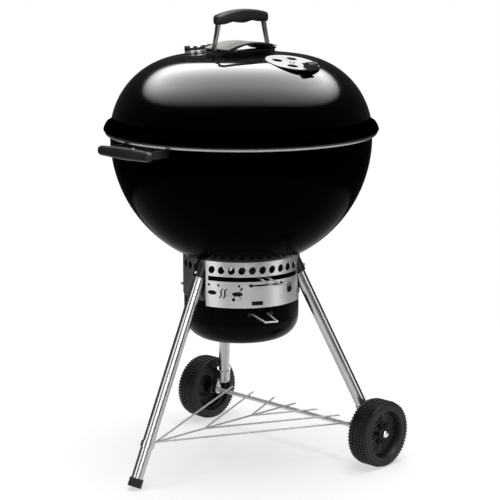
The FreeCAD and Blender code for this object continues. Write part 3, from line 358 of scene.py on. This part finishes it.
# %% Wheel shape
def block(matrix, angle, radius, tall, along, low, high, lean=0.0):
    """One tread block standing on the tyre between two widths, seen from the wheel's axis."""
    points = []
    for level, inset in ((0, 0.0), (tall, 0.12)):
        for turn, width in ((-1, low), (1, low), (1, high), (-1, high)):
            middle = (low + high) / 2
            spot = width + (middle - width) * inset
            at = angle + turn * along * (1 - inset) / 2 + lean * (spot - middle)
            reach = radius + level
            points.append(matrix @ Vector((reach * math.cos(at), reach * math.sin(at), spot)))
    faces = [(4, 5, 6, 7), (0, 1, 5, 4), (1, 2, 6, 5), (2, 3, 7, 6), (3, 0, 4, 7), (3, 2, 1, 0)]
    return points, faces


def wheel(side, sign):
    low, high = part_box("wheel_" + side)
    centre = (low + high) / 2
    radius, width = (high.z - low.z) / 2, high.y - low.y
    matrix = facing((0, sign, 0), Vector((centre.x, centre.y, centre.z)))
    half, tread = width / 2, 2.4 * MM
    shoulder = radius - tread
    rim, dish, hub, bore = radius * 0.70, radius * 0.64, 13 * MM, 5.2 * MM
    outline = [(rim, half - 1.5 * MM), (rim + 1.5 * MM, half), (radius * 0.80, half),
               (radius * 0.81, half - 1 * MM), (radius * 0.84, half - 1 * MM), (radius * 0.85, half),
               (shoulder - 5 * MM, half), (shoulder - 2 * MM, half - 1.2 * MM), (shoulder, half - 4 * MM),
               (shoulder, -half + 4 * MM), (shoulder - 2 * MM, -half + 1.2 * MM), (shoulder - 5 * MM, -half),
               (rim + 2 * MM, -half), (rim, -half + 2 * MM), (rim, -half + 10 * MM), (dish, -half + 12 * MM),
               (dish, half - 14 * MM), (rim - 1.5 * MM, half - 5 * MM)]
    shapes = [lathe(outline, matrix, 128)]
    around_count, rows = 60, 4
    pitch = math.tau / around_count
    row_width = (width - 14 * MM) / rows
    for row in range(rows):
        start = -half + 7 * MM + row * row_width
        for index in range(around_count):
            shapes.append(block(matrix, index * pitch, shoulder - 0.2 * MM, tread, pitch * 0.60,
                                start + 0.9 * MM, start + row_width - 0.9 * MM, 1.5 * (-1) ** row))
    for index in range(around_count):
        for end in (-1, 1):
            outer, inner = end * (half - 0.2 * MM), end * (half - 5 * MM)
            shapes.append(block(matrix, index * pitch, shoulder - 3.2 * MM, 3.2 * MM, pitch * 0.5,
                                min(outer, inner), max(outer, inner)))
    hub_front = half - 8 * MM
    shapes.append(lathe([(bore, hub_front), (hub - 3 * MM, hub_front), (hub, hub_front - 3 * MM),
                         (hub, -half + 6 * MM), (bore, -half + 6 * MM)], matrix, 48))
    web = half - 16 * MM
    for index in range(7):
        turn = math.tau * index / 7 + math.radians(-12)
        shapes.append(spoke(matrix, turn, hub - 1 * MM, dish + 1 * MM, web + 1.2 * MM, 3 * MM))
    bow = [(hub - 1 * MM, web - 8 * MM), (hub + 8 * MM, web - 3 * MM), (dish * 0.55, web),
           (dish + 1 * MM, web), (dish + 1 * MM, web - 3 * MM), (dish * 0.55, web - 3 * MM),
           (hub + 8 * MM, web - 6 * MM), (hub - 1 * MM, web - 11 * MM)]
    shapes.append(lathe(bow, matrix, 72))
    for reach in (0.42, 0.56):
        at = radius * reach
        shapes.append(lathe([(at, web - 1 * MM), (at, web + 1.4 * MM), (at + 1.2 * MM, web + 1.4 * MM),
                             (at + 1.2 * MM, web - 1 * MM)], matrix, 72))
    made = finish_piece("wheel_tread_" + side, *joined(*shapes), wheel_plastic.material,
                        side + "_wheel", "wheel_plastic", 28)
    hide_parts("wheel_" + side)
    return made


def spoke(matrix, turn, inner, outer, face, thick):
    """A low spoke that widens outwards, with a raised rib along its middle."""
    rings = []
    steps = 9
    for step in range(steps):
        share = step / (steps - 1)
        reach = inner + (outer - inner) * share
        half_width = 4.5 * MM + 4.5 * MM * share ** 2
        lift = 3 * MM * (1 - share) + 1 * MM
        section = [(-half_width, face - thick), (-half_width, face), (-1.4 * MM, face + 0.4 * MM),
                   (-0.8 * MM, face + lift), (0.8 * MM, face + lift), (1.4 * MM, face + 0.4 * MM),
                   (half_width, face), (half_width, face - thick)]
        rings.append([matrix @ Vector((reach * math.cos(turn) - across * math.sin(turn),
                                       reach * math.sin(turn) + across * math.cos(turn), up))
                      for across, up in section])
    return skin(rings)


for side, sign in (("left", 1), ("right", -1)):
    made = wheel(side, sign)
    print(made.name, len(made.data.polygons), "faces")

# %% [markdown]
# ## Hub caps and screws
# Small turned parts share one outline function each.  A pressed cap has a shallow dome and a
# rolled edge; a screw has a domed head with a sunken six-sided drive.

# %% Turned fittings
def hub_cap(side, sign):
    low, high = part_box("hub_cap_" + side)
    centre = (low + high) / 2
    inner_y, outer_y = (low.y, high.y) if sign > 0 else (high.y, low.y)
    tall, radius = abs(outer_y - inner_y), (high.x - low.x) / 2
    matrix = facing((0, sign, 0), Vector((centre.x, inner_y, centre.z)))
    outline = [(radius - 0.8 * MM, 0), (radius, 0.6 * MM), (radius, tall * 0.45), (radius * 0.9, tall * 0.62),
               (radius * 0.72, tall * 0.80), (radius * 0.5, tall * 0.93), (radius * 0.25, tall * 0.99),
               (radius * 0.02, tall), (radius * 0.02, tall - 0.8 * MM), (radius * 0.6, tall * 0.6),
               (radius - 1.2 * MM, tall * 0.3)]
    piece = finish_piece("hub_dome_" + side, *lathe(outline, matrix, 48), bright.material,
                         side + "_wheel", "cap_chrome")
    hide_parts("hub_cap_" + side)


def screw_head(radius, tall, matrix):
    """Domed head with a six-sided socket sunk into it."""
    dome = [(0.96, 0), (1, 0.2), (0.93, 0.55), (0.75, 0.85), (0.55, 1)]
    socket = [(0.44, 1), (0.42, 0.35), (0.05, 0.3)]
    rings = []
    for outline, shape in ((dome, lambda angle: 1.0), (socket, six)):
        for reach, height in outline:
            rings.append([matrix @ Vector((shape(a) * radius * reach * math.cos(a),
                                           shape(a) * radius * reach * math.sin(a), tall * height))
                          for a in angles(36)])
    return skin(rings)


def angles(count):
    return [math.tau * index / count for index in range(count)]


def six(angle):
    """Reach of a hexagon's edge in this direction, as a share of its corner radius."""
    return math.cos(math.pi / 6) / math.cos((angle % (math.pi / 3)) - math.pi / 6)


for side, sign in (("left", 1), ("right", -1)):
    hub_cap(side, sign)


def solids_of(name):
    """The points of each of a node's separate solids, found from its joined vertices."""
    mesh = nodes[name].data
    parent = list(range(len(mesh.vertices)))

    def root(index):
        while parent[index] != index:
            parent[index] = parent[parent[index]]
            index = parent[index]
        return index

    seen = {}
    for vertex in mesh.vertices:
        key = tuple(round(c, 6) for c in vertex.co)
        parent[root(vertex.index)] = root(seen.setdefault(key, vertex.index))
    for edge in mesh.edges:
        parent[root(edge.vertices[0])] = root(edge.vertices[1])
    groups = {}
    for vertex in mesh.vertices:
        groups.setdefault(root(vertex.index), []).append(vertex.co.copy())
    return sorted(groups.values(), key=lambda points: tuple(points[0]))


def along_axis(points, origin, way):
    """How far points lie along an axis, and the greatest distance from it."""
    reach = [(point - origin).dot(way) for point in points]
    radius = max((point - origin - way * far).length for point, far in zip(points, reach))
    return reach, radius


def fit_screws(name, direction_of, body, slot):
    """Replace plain cylinders by domed screws of the same radius, height and place."""
    shapes = []
    for points in solids_of(name):
        middle = sum(points, Vector()) / len(points)
        way = Vector(direction_of(middle)).normalized()
        reach, radius = along_axis(points, middle, way)
        matrix = facing(way, middle + way * min(reach))
        shapes.append(screw_head(radius, max(reach) - min(reach), matrix))
    piece = finish_piece(name + "_heads", *joined(*shapes), bright.material, body, slot, 40)
    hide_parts(name)
    print(name, len(shapes), "screws")


def outward(point):
    return (point.x, point.y, 0)


fit_screws("side_handle_front_bolts", outward, "stand", "bright_steel")
fit_screws("side_handle_wheel_bolts", outward, "stand", "bright_steel")
leg_tilt = math.radians(25.14)


def leg_heading(point):
    """The front leg leans to -X, the others to their own side."""
    return math.pi if point.x < 0 else math.copysign(math.radians(47.6), point.y)


def off_leg(point):
    """Square to a leg, outwards and up."""
    heading = leg_heading(point)
    return (math.cos(heading), math.sin(heading), math.tan(leg_tilt))


fit_screws("socket_bolts", off_leg, "stand", "bright_steel")
bright.dress("lid_handle_screws")

# %% [markdown]
# ## Leg tubes
# The legs are drawn aluminium tubes polished along their length, so each carries one long
# unbroken highlight.  A tube with a real wall is turned about the leg's axis with enough
# sides to look smooth.

# %% Leg tubes
socket_reach, socket_height, tube_wall = 0.117, 0.443, 1.4 * MM


def leg_tube(name):
    points = [vertex.co.copy() for vertex in nodes[name].data.vertices]
    middle = sum(points, Vector()) / len(points)
    heading = leg_heading(middle)
    azimuth = math.pi if middle.x < 0 else math.copysign(math.radians(60), middle.y)
    top = Vector((socket_reach * math.cos(azimuth), socket_reach * math.sin(azimuth), socket_height))
    up = Vector((-math.sin(leg_tilt) * math.cos(heading), -math.sin(leg_tilt) * math.sin(heading),
                 math.cos(leg_tilt)))
    reach, radius = along_axis(points, top, up)
    inner = radius - tube_wall
    outline = [(radius, min(reach)), (radius, max(reach)), (inner, max(reach)), (inner, min(reach))]
    piece = finish_piece(name + "_tube", *lathe(outline, facing(up, top), 96), leg_metal.material,
                         "stand", "leg_aluminium", 40)
    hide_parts(name)
    length = max(reach) - min(reach)
    print(piece.name, "radius", round(radius / MM, 2), "mm, length", round(length / MM, 1), "mm")


for leg in ("leg_front", "leg_wheel_left", "leg_wheel_right"):
    leg_tube(leg)

# %% [markdown]
# ## Grips
# A grip is one long moulding.  Its section is a rounded box that changes along its length:
# the lid grip arches on top, swells under the palm and ends in knobs; the side grips are
# flatter.  Rings of a superellipse give that in one smooth skin.

# %% Grip shapes
def rounded(width, height, power, count=40):
    points = []
    for index in range(count):
        angle = math.tau * index / count
        c, s = math.cos(angle), math.sin(angle)
        points.append((math.copysign(abs(c) ** (2 / power), c) * width / 2,
                       math.copysign(abs(s) ** (2 / power), s) * height / 2))
    return points


def end_round(share, length, radius):
    """How far a moulding has closed near its ends: 1 in the middle, falling to 0."""
    away = (1 - abs(share)) * length / 2
    return 1.0 if away > radius else math.sqrt(max(1 - (1 - away / radius) ** 2, 0.0))


def lid_grip():
    low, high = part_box("lid_handle_grip")
    length, width = high.x - low.x, high.y - low.y
    ends_top, ends_low = high.z - 10 * MM, low.z
    rings, steps = [], 72
    for step in range(steps + 1):
        share = -math.cos(math.pi * step / steps)
        x = (low.x + high.x) / 2 + share * length / 2
        top = ends_top + 10 * MM * (1 - share ** 2)
        waves = 2.0 * MM * math.cos(abs(share) * math.tau * 1.3 + math.pi) + 4.2 * MM
        under = ends_low + waves * (1 - abs(share) ** 6) * 0.9
        close = max(end_round(share, length, 9 * MM), 0.02)
        middle, tall = (top + under) / 2, (top - under) * (0.55 + 0.45 * close)
        wide = width * (0.86 + 0.14 * (1 - share ** 2)) * (0.35 + 0.65 * close)
        rings.append([Vector((x, across, middle + up)) for across, up in rounded(wide, tall, 3.4)])
    piece = finish_piece("lid_grip_moulding", *skin(rings), nylon.material, "lid", "black_nylon", 60)
    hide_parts("lid_handle_grip")


def side_grip(side):
    low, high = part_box("side_handle_%s_grip" % side)
    centre, length = (low + high) / 2, high.y - low.y
    deep, tall = high.x - low.x, high.z - low.z
    rings, steps = [], 64
    for step in range(steps + 1):
        share = -math.cos(math.pi * step / steps)
        close = max(end_round(share, length, 12 * MM), 0.02)
        height = tall * (0.92 + 0.08 * math.cos(share * math.pi)) * (0.35 + 0.65 * close)
        depth = deep * (0.9 + 0.1 * math.cos(share * math.pi)) * (0.5 + 0.5 * close)
        rings.append([Vector((centre.x + across, centre.y + share * length / 2, centre.z + up))
                      for across, up in rounded(depth, height, 3.0)])
    piece = finish_piece("side_grip_%s_moulding" % side, *skin(rings), nylon.material, "stand",
                         "black_nylon", 60)
    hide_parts("side_handle_%s_grip" % side)


def post(sign):
    """Narrow flat bar from a foot on the base plate up to one end of the grip, bent at both ends."""
    low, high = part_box("lid_handle_posts")
    path = [(0.058, 1.6, 7), (0.072, 1.6, 7), (0.0795, 2.6, 6.5), (0.0815, 6.0, 6.0), (0.0800, 12.0, 6.0),
            (0.0755, 30.0, 6.2), (0.0712, 46.0, 6.8), (0.0695, 55.6, 7.2), (0.0690, 60.0, 7.2)]
    section = ((-1, -0.9), (-1, 0.9), (-0.5, 1), (0.5, 1), (1, 0.9), (1, -0.9), (0.5, -1), (-0.5, -1))
    rings = []
    for index, (x, up, half_width) in enumerate(path):
        before, after = path[max(index - 1, 0)], path[min(index + 1, len(path) - 1)]
        along = Vector(((after[0] - before[0]), 0, (after[1] - before[1]) * MM)).normalized()
        across = Vector((-along.z, 0, along.x)) * 1.5 * MM
        middle = Vector((x, 0, low.z + up * MM))
        rings.append([Vector((sign * spot.x, spot.y, spot.z)) for spot in
                      (middle + across * c + Vector((0, half_width * MM * w, 0)) for c, w in section)])
    return skin(rings if sign > 0 else rings[::-1])


def shade_arch():
    """Black arch just under the heat shield, thick at its feet and open in the middle: painted shade that
    fills the shaded space under the shield.
    """
    low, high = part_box("lid_heat_shield")
    floor_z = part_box("lid_handle_base")[1].z + 0.3 * MM
    reach, rise = (high.x - low.x) / 2 - 1 * MM, high.z - low.z - 1.5 * MM
    rings = []
    for step in range(41):
        share = -1 + 2 * step / 40
        top = high.z - 1.9 * MM - rise * share ** 2
        bottom = max(top - (3.5 + 12 * abs(share) ** 3) * MM, floor_z)
        wide = (high.y - low.y) * (1.0 - 0.06 * share ** 2)
        rings.append([Vector((reach * share, across, (top + bottom) / 2 + up))
                      for across, up in rounded(wide, top - bottom, 5)])
    return skin(rings)


lid_grip()
side_grip("front")
side_grip("wheel")
posts = finish_piece("grip_posts", *joined(post(-1), post(1)), strap_metal.material, "lid", "strap_steel", 50)
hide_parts("lid_handle_posts")
# The black arch under the heat shield is painted shade.
arch = finish_piece("shield_shade_arch", *shade_arch(), nylon.material, "lid", "black_nylon", 50)
print("grip parts:", posts.name, arch.name)

# %% [markdown]
# ## Vent tab
# The damper on the lid is turned by a folded tab.  It grips the disc's outer edge, stands up
# like a small hood, and has ribs for the finger.

# %% Vent tab
vent_tilt = math.asin(32 / 165)
vent_matrix = Matrix.Translation((0, -0.147, 0.88087)) @ Matrix.Rotation(vent_tilt, 4, "X")
rings = []
for step in range(27):
    rib = 0.0 if step % 2 else 0.9
    across = (-13 + step) * MM
    profile = [(-43, 0.4), (-43.6, 5.5 + rib), (-47, 11.5 + rib), (-53, 13 + rib), (-59, 10 + rib),
               (-61.5 - rib, 3), (-61.5 - rib, -2.5), (-59.5, -2.5), (-59.2, 0.4)]
    rings.append([vent_matrix @ Vector((across, y * MM, z * MM)) for y, z in profile])
tab = finish_piece("vent_tab_hood", *skin(rings), nylon.material, "lid_vent", "tab_black", 25)
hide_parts("lid_vent_tab")
print(tab.name, len(tab.data.polygons), "faces")

# %% [markdown]
# ## Foot cap
# The leg without a wheel ends in a ribbed plastic cap.  It is turned about the leg's own
# axis, and its lowest edge is pressed flat where it stands.

# %% Foot cap
leg_way = Vector((math.sin(leg_tilt), 0, math.cos(leg_tilt)))
cap_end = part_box("foot_cap")[0].x
cap_radius, cap_length = 15.2 * MM, 19 * MM
foot = Vector((-0.3228, 0, 0.00446))
matrix = facing(leg_way, foot)
outline = [(0.5 * MM, 0.0), (cap_radius - 1.6 * MM, 0.0), (cap_radius - 0.3 * MM, 0.9 * MM)]
for rib in range(2):
    at = (3 + rib * 5) * MM
    outline += [(cap_radius, at), (cap_radius, at + 2.6 * MM), (cap_radius - 0.7 * MM, at + 3.1 * MM),
                (cap_radius - 0.7 * MM, at + 4.4 * MM)]
outline += [(cap_radius, 14 * MM), (cap_radius, cap_length - 1.2 * MM), (cap_radius - 1.0 * MM, cap_length),
            (13.1 * MM, cap_length), (13.1 * MM, 4.6 * MM), (0.5 * MM, 4.6 * MM)]
vertices, faces = lathe(outline, matrix, 56)
vertices = [Vector((max(v.x, cap_end), v.y, max(v.z, 0.0))) for v in vertices]
cap = finish_piece("foot_cap_moulding", vertices, faces, wheel_plastic.material, "stand", "foot_plastic")
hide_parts("foot_cap")
print(cap.name, "reaches down to", round(min(v.z for v in vertices) / MM, 2), "mm")

# %% [markdown]
# ## Printed symbols
# The panel carries small printed pictures: dots, a lid, smoke, a grill, arrows and a bucket.
# Each is an outline wrapped round the panel's cylinder, standing 0.15 mm proud.  An outline is
# given as narrow upright columns, so that its middle never sinks under the curved sheet.

# %% Symbols
panel_radius = 128.08 * MM
degree_mm = math.radians(1) * panel_radius / MM
ink_depth = 0.15 * MM


def at_panel(azimuth, height, lift):
    turn = math.radians(azimuth)
    reach = panel_radius + lift
    return Vector((reach * math.cos(turn), reach * math.sin(turn), height * MM))


def patch(columns):
    """A print given as columns (azimuth in degrees, low and high edge in mm)."""
    rings = []
    for azimuth, low, high in columns:
        rings.append([at_panel(azimuth, height, lift) for height, lift in
                      ((low, 0), (high, 0), (high, ink_depth), (low, ink_depth))])
    return skin(rings[::-1])


def oval(azimuth, height, wide, tall, count=16):
    """Filled oval, its width and height in mm."""
    columns = []
    for step in range(count + 1):
        across = -math.cos(math.pi * step / count)
        half = max(math.sqrt(max(1 - across ** 2, 0)), 0.05) * tall / 2
        columns.append((azimuth + across * wide / 2 / degree_mm, height - half, height + half))
    return patch(columns)


def stroke(points, width):
    """Short upright pen stroke through (azimuth, height) points, with a width in mm."""
    half = width / 2 / degree_mm
    rings = []
    for azimuth, height in points:
        rings.append([at_panel(azimuth + side * half, height, lift) for side, lift in
                      ((-1, 0), (1, 0), (1, ink_depth), (-1, ink_depth))])
    return skin(rings)


def arrow(tail, tip, height):
    """Level arrow; the head opens from the shaft and closes at the tip."""
    width, head = 3.4, 5.2
    way = 1 if tip > tail else -1
    neck = tip - way * 9 / degree_mm
    steps = [tail + (neck - tail) * part / 12 for part in range(13)]
    columns = [(azimuth, height - width / 2, height + width / 2) for azimuth in steps]
    columns += [(neck + (tip - neck) * part, height - head * (1 - part), height + head * (1 - part))
                for part in (0.01, 0.25, 0.5, 0.75, 0.98)]
    return patch(sorted(columns))


wave = [(-1.9 + 3.6 * part / 16 + 0.9 * math.sin(math.tau * part / 16), -10.5 + 21 * part / 16)
        for part in range(17)]
shapes = [oval(azimuth, 411, 5.5, 5.5) for azimuth in (191.9, 201.8, 222.0)]
shapes.append(oval(195.2, 394.5, 21, 9.5))
for shift in (204.6, 208.4):
    shapes.append(stroke([(shift + a, 394 + h) for a, h in wave], 3.4))
shapes.append(oval(220.3, 393.5, 23, 9.5))
shapes.append(stroke([(221.8, 396), (223.0, 400), (224.6, 404)], 2.0))
shapes.append(patch([(222.6, 403.5, 404), (223.6, 403.5, 406), (224.6, 402.0, 408), (225.4, 404, 408.2)]))
shapes.append(stroke([(218.8, 391), (217.4, 386), (216.6, 382)], 1.8))
shapes.append(stroke([(221.8, 391), (223.0, 386), (223.6, 383)], 1.8))
shapes.append(oval(216.6, 381.5, 7, 7))
shapes += [arrow(249, 230.4, 411.5), arrow(249, 268.2, 411.5)]
shapes.append(patch([(273.6, 392, 401), (274.4, 388, 401), (277.2, 387, 401), (280.0, 388, 401),
                     (280.8, 392, 401)]))
shapes += [patch([(273.0, 403, 405.2), (277.2, 403, 405.2), (281.4, 403, 405.2)]), oval(277.2, 408.5, 5, 3.5)]
shapes.append(patch([(234 + step, 369, 377.5) for step in range(0, 12)]))
symbols = finish_piece("panel_symbols", *joined(*shapes), print_ink.material, "stand", "panel_steel", 20)
print(symbols.name, len(shapes), "shapes")

# %% [markdown]
# ## Dial marks
# The thermometer face needs its scale: a ring of ticks and a coloured arc; only the ticks are made here.
# Ticks are thin bars laid on the face, longer at every fifth.

# %% Dial marks
face_points = [vertex.co for vertex in nodes["thermometer_dial"].data.vertices]
face_centre = sum(face_points, Vector()) / len(face_points)
tilt = math.asin(0.128 / 0.9956)
dial_matrix = facing((0, math.sin(tilt), math.cos(tilt)), face_centre)
shapes = []
for index in range(41):
    turn = math.radians(225 - index * 270 / 40)
    inner, outer = (19 if index % 5 == 0 else 21.5) * MM, 24.5 * MM
    half_width = (0.45 if index % 5 == 0 else 0.22) * MM
    rings = []
    for height in (0.5 * MM, 0.62 * MM):
        rings.append([dial_matrix @ Vector((reach * math.cos(turn) - across * math.sin(turn),
                                            reach * math.sin(turn) + across * math.cos(turn), height))
                      for reach, across in ((inner, -half_width), (outer, -half_width), (outer, half_width),
                                            (inner, half_width))])
    shapes.append(skin(rings))
finish_piece("dial_ticks", *joined(*shapes), print_ink.material, "lid", "dial_face")
gauge_axis = dial_matrix.to_3x3() @ Vector((0, 0, 1))
case_points = [vertex.co for vertex in nodes["thermometer_case"].data.vertices]
case_heights = along_axis(case_points, face_centre, gauge_axis)[0]
case_matrix = dial_matrix @ Matrix.Translation((0, 0, min(case_heights)))
case_tall = (max(case_heights) - min(case_heights)) / MM
print("gauge case is", round(case_tall, 2), "mm tall")
rim_shapes = []
for bottom, top in ((0.2, 3.2), (case_tall - 3.4, case_tall - 0.1)):
    outline = [(30.0, bottom), (30.9, bottom + 0.7), (30.9, top - 0.7), (30.0, top), (28.6, top),
               (28.6, bottom)]
    rim_shapes.append(lathe([(reach * MM, height * MM) for reach, height in outline], case_matrix, 96))
finish_piece("gauge_rims", *joined(*rim_shapes), vent_metal.material, "lid", "gauge_chrome", 30)
band = lathe([(30.4 * MM, 3.4 * MM), (30.4 * MM, 9.4 * MM), (29.9 * MM, 9.8 * MM), (29.9 * MM, 3.0 * MM)],
             case_matrix, 240, shape=lambda angle: 1 + 0.006 * math.cos(60 * angle))
finish_piece("gauge_grip_band", *band, nylon.material, "lid", "gauge_chrome")

# %% [markdown]
# ## Studio
# A glossy black kettle shows only what it reflects.  One wide oval panel hangs above for the
# soft white band on the lid; its edges are soft because it is made of many layers, each a
# little larger than the last, and it is linked to the lid alone, so that nothing else is
# burnt out.  Four panels and an overhead light serve the tubes, the bare metal and the
# plastics, and the pale floor has a light of its own that gives the soft shadow.

# %% Lights and floor
def soft_panel(name, at, aim, wide, tall, power, only=None, shape="RECTANGLE"):
    lamp = bpy.data.lights.new(name, "AREA")
    lamp.shape, lamp.size, lamp.size_y, lamp.energy = shape, wide, tall, power
    holder = bpy.data.objects.new(name, lamp)
    bpy.context.scene.collection.objects.link(holder)
    holder.location = at
    holder.rotation_euler = (Vector(aim) - Vector(at)).to_track_quat("-Z", "Y").to_euler()
    if only:
        group = bpy.data.collections.new(name + "_group")
        for each in only:
            group.objects.link(each)
        holder.light_linking.receiver_collection = group
    return holder


view_heading = math.radians(46.18)


def beside(right, ahead, up):
    """A point given from the viewer: to the right, away from the viewer, and up."""
    c, s = math.cos(view_heading), math.sin(view_heading)
    return (right * c + ahead * s, -right * s + ahead * c, up)


lid_only = [nodes["lid_shell"]]
enamelled = [nodes[name] for name in ("lid_shell", "bowl_shell", "ash_bucket")]
bare = [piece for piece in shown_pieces() if piece not in enamelled]


def radiant(wide, tall, brightness):
    """Power of a panel that shows this brightness when it is seen directly."""
    return brightness * math.pi * wide * tall


def overhead_oval(name, near, far, up, wide, brightness, layers, soft):
    """An oval panel with soft edges: several layers, each a little larger than the last."""
    share = math.pi / 4
    for layer in range(layers):
        grow = soft * (layer / (layers - 1) - 0.5) * 2
        tall, broad = far - near + 2 * grow, wide + 2 * grow
        middle = (near + far) / 2
        holder = soft_panel("%s_%d" % (name, layer), beside(0, middle, up + 0.01 * layer), (0, 0, 0),
                            broad, tall, radiant(broad, tall, share * brightness / layers), lid_only,
                            "ELLIPSE")
        holder.rotation_euler = (0, 0, -view_heading)


overhead_oval("lid_panel", -0.5, 3.2, 2.8, 4.6, 28, layers=14, soft=1.1)
soft_panel("left_panel", beside(-2.3, -1.6, 1.0), (0, 0, 0.4), 1.3, 2.2, radiant(1.3, 2.2, 2.2), bare)
soft_panel("right_panel", beside(2.5, -0.9, 1.0), (0, 0, 0.4), 1.0, 2.2, radiant(1.0, 2.2, 2.0), bare)
soft_panel("back_panel", beside(0, 4.0, 2.4), (0, 0, 0.9), 5.0, 2.4, radiant(5.0, 2.4, 0.9), bare)
soft_panel("front_panel_light", beside(0.6, -4.0, 1.9), (0, 0, 0.4), 2.4, 1.8, radiant(2.4, 1.8, 4.5), bare)
soft_panel("overhead", (0, 0, 3.2), (0, 0, 0), 3.0, 3.0, 230, bare)

floor_mesh = bpy.data.meshes.new("floor")
floor_mesh.from_pydata([(1.35 * math.cos(a), 1.35 * math.sin(a), -0.0003) for a in angles(96)], [],
                       [tuple(range(96))])
floor = bpy.data.objects.new("floor", floor_mesh)
bpy.context.scene.collection.objects.link(floor)
floor_paint = Finish("floor_paint", Roughness=0.9, Specular_IOR_Level=0.1, Emission_Strength=0.62)
floor_paint.vary("Base Color", floor_paint.shade(floor_paint.noise(2), (0.80,) * 3, (0.83,) * 3))
floor_paint.shader.inputs["Emission Color"].default_value = (1, 1, 1, 1)
floor_mesh.materials.append(floor_paint.material)
soft_panel("floor_light", (0, 0, 3.3), (0, 0, 0), 3.0, 3.0, radiant(3, 3, 3.0), [floor])

world = bpy.data.worlds.new("studio")
bpy.context.scene.world = world
world.use_nodes = True
tree = world.node_tree
background = tree.nodes["Background"]
rays = tree.nodes.new("ShaderNodeLightPath")
choice = tree.nodes.new("ShaderNodeMix")
choice.inputs["A"].default_value, choice.inputs["B"].default_value = 0.05, 1.0
tree.links.new(rays.outputs["Is Camera Ray"], choice.inputs["Factor"])
tree.links.new(choice.outputs["Result"], background.inputs["Strength"])
background.inputs["Color"].default_value = (1, 1, 1, 1)
bpy.context.scene.view_settings.view_transform = "Standard"

# %% [markdown]
# ## Camera
# A long lens from chest height, a little above the lid, keeps the upright lines nearly
# parallel and shows the panel, the lever and both wheels at once.

# %% Camera
camera_data = bpy.data.cameras.new("camera")
camera_data.lens, camera_data.sensor_width = 130.7, 36.0
camera = bpy.data.objects.new("camera", camera_data)
bpy.context.scene.collection.objects.link(camera)
camera.location = beside(0.0188, -3.8527, 1.2571)
camera.rotation_euler = (math.radians(90 - 11.65), 0, -view_heading)
camera_data.clip_start, camera_data.clip_end = 0.05, 60
bpy.context.scene.camera = camera
print("camera at", [round(v, 3) for v in camera.location])
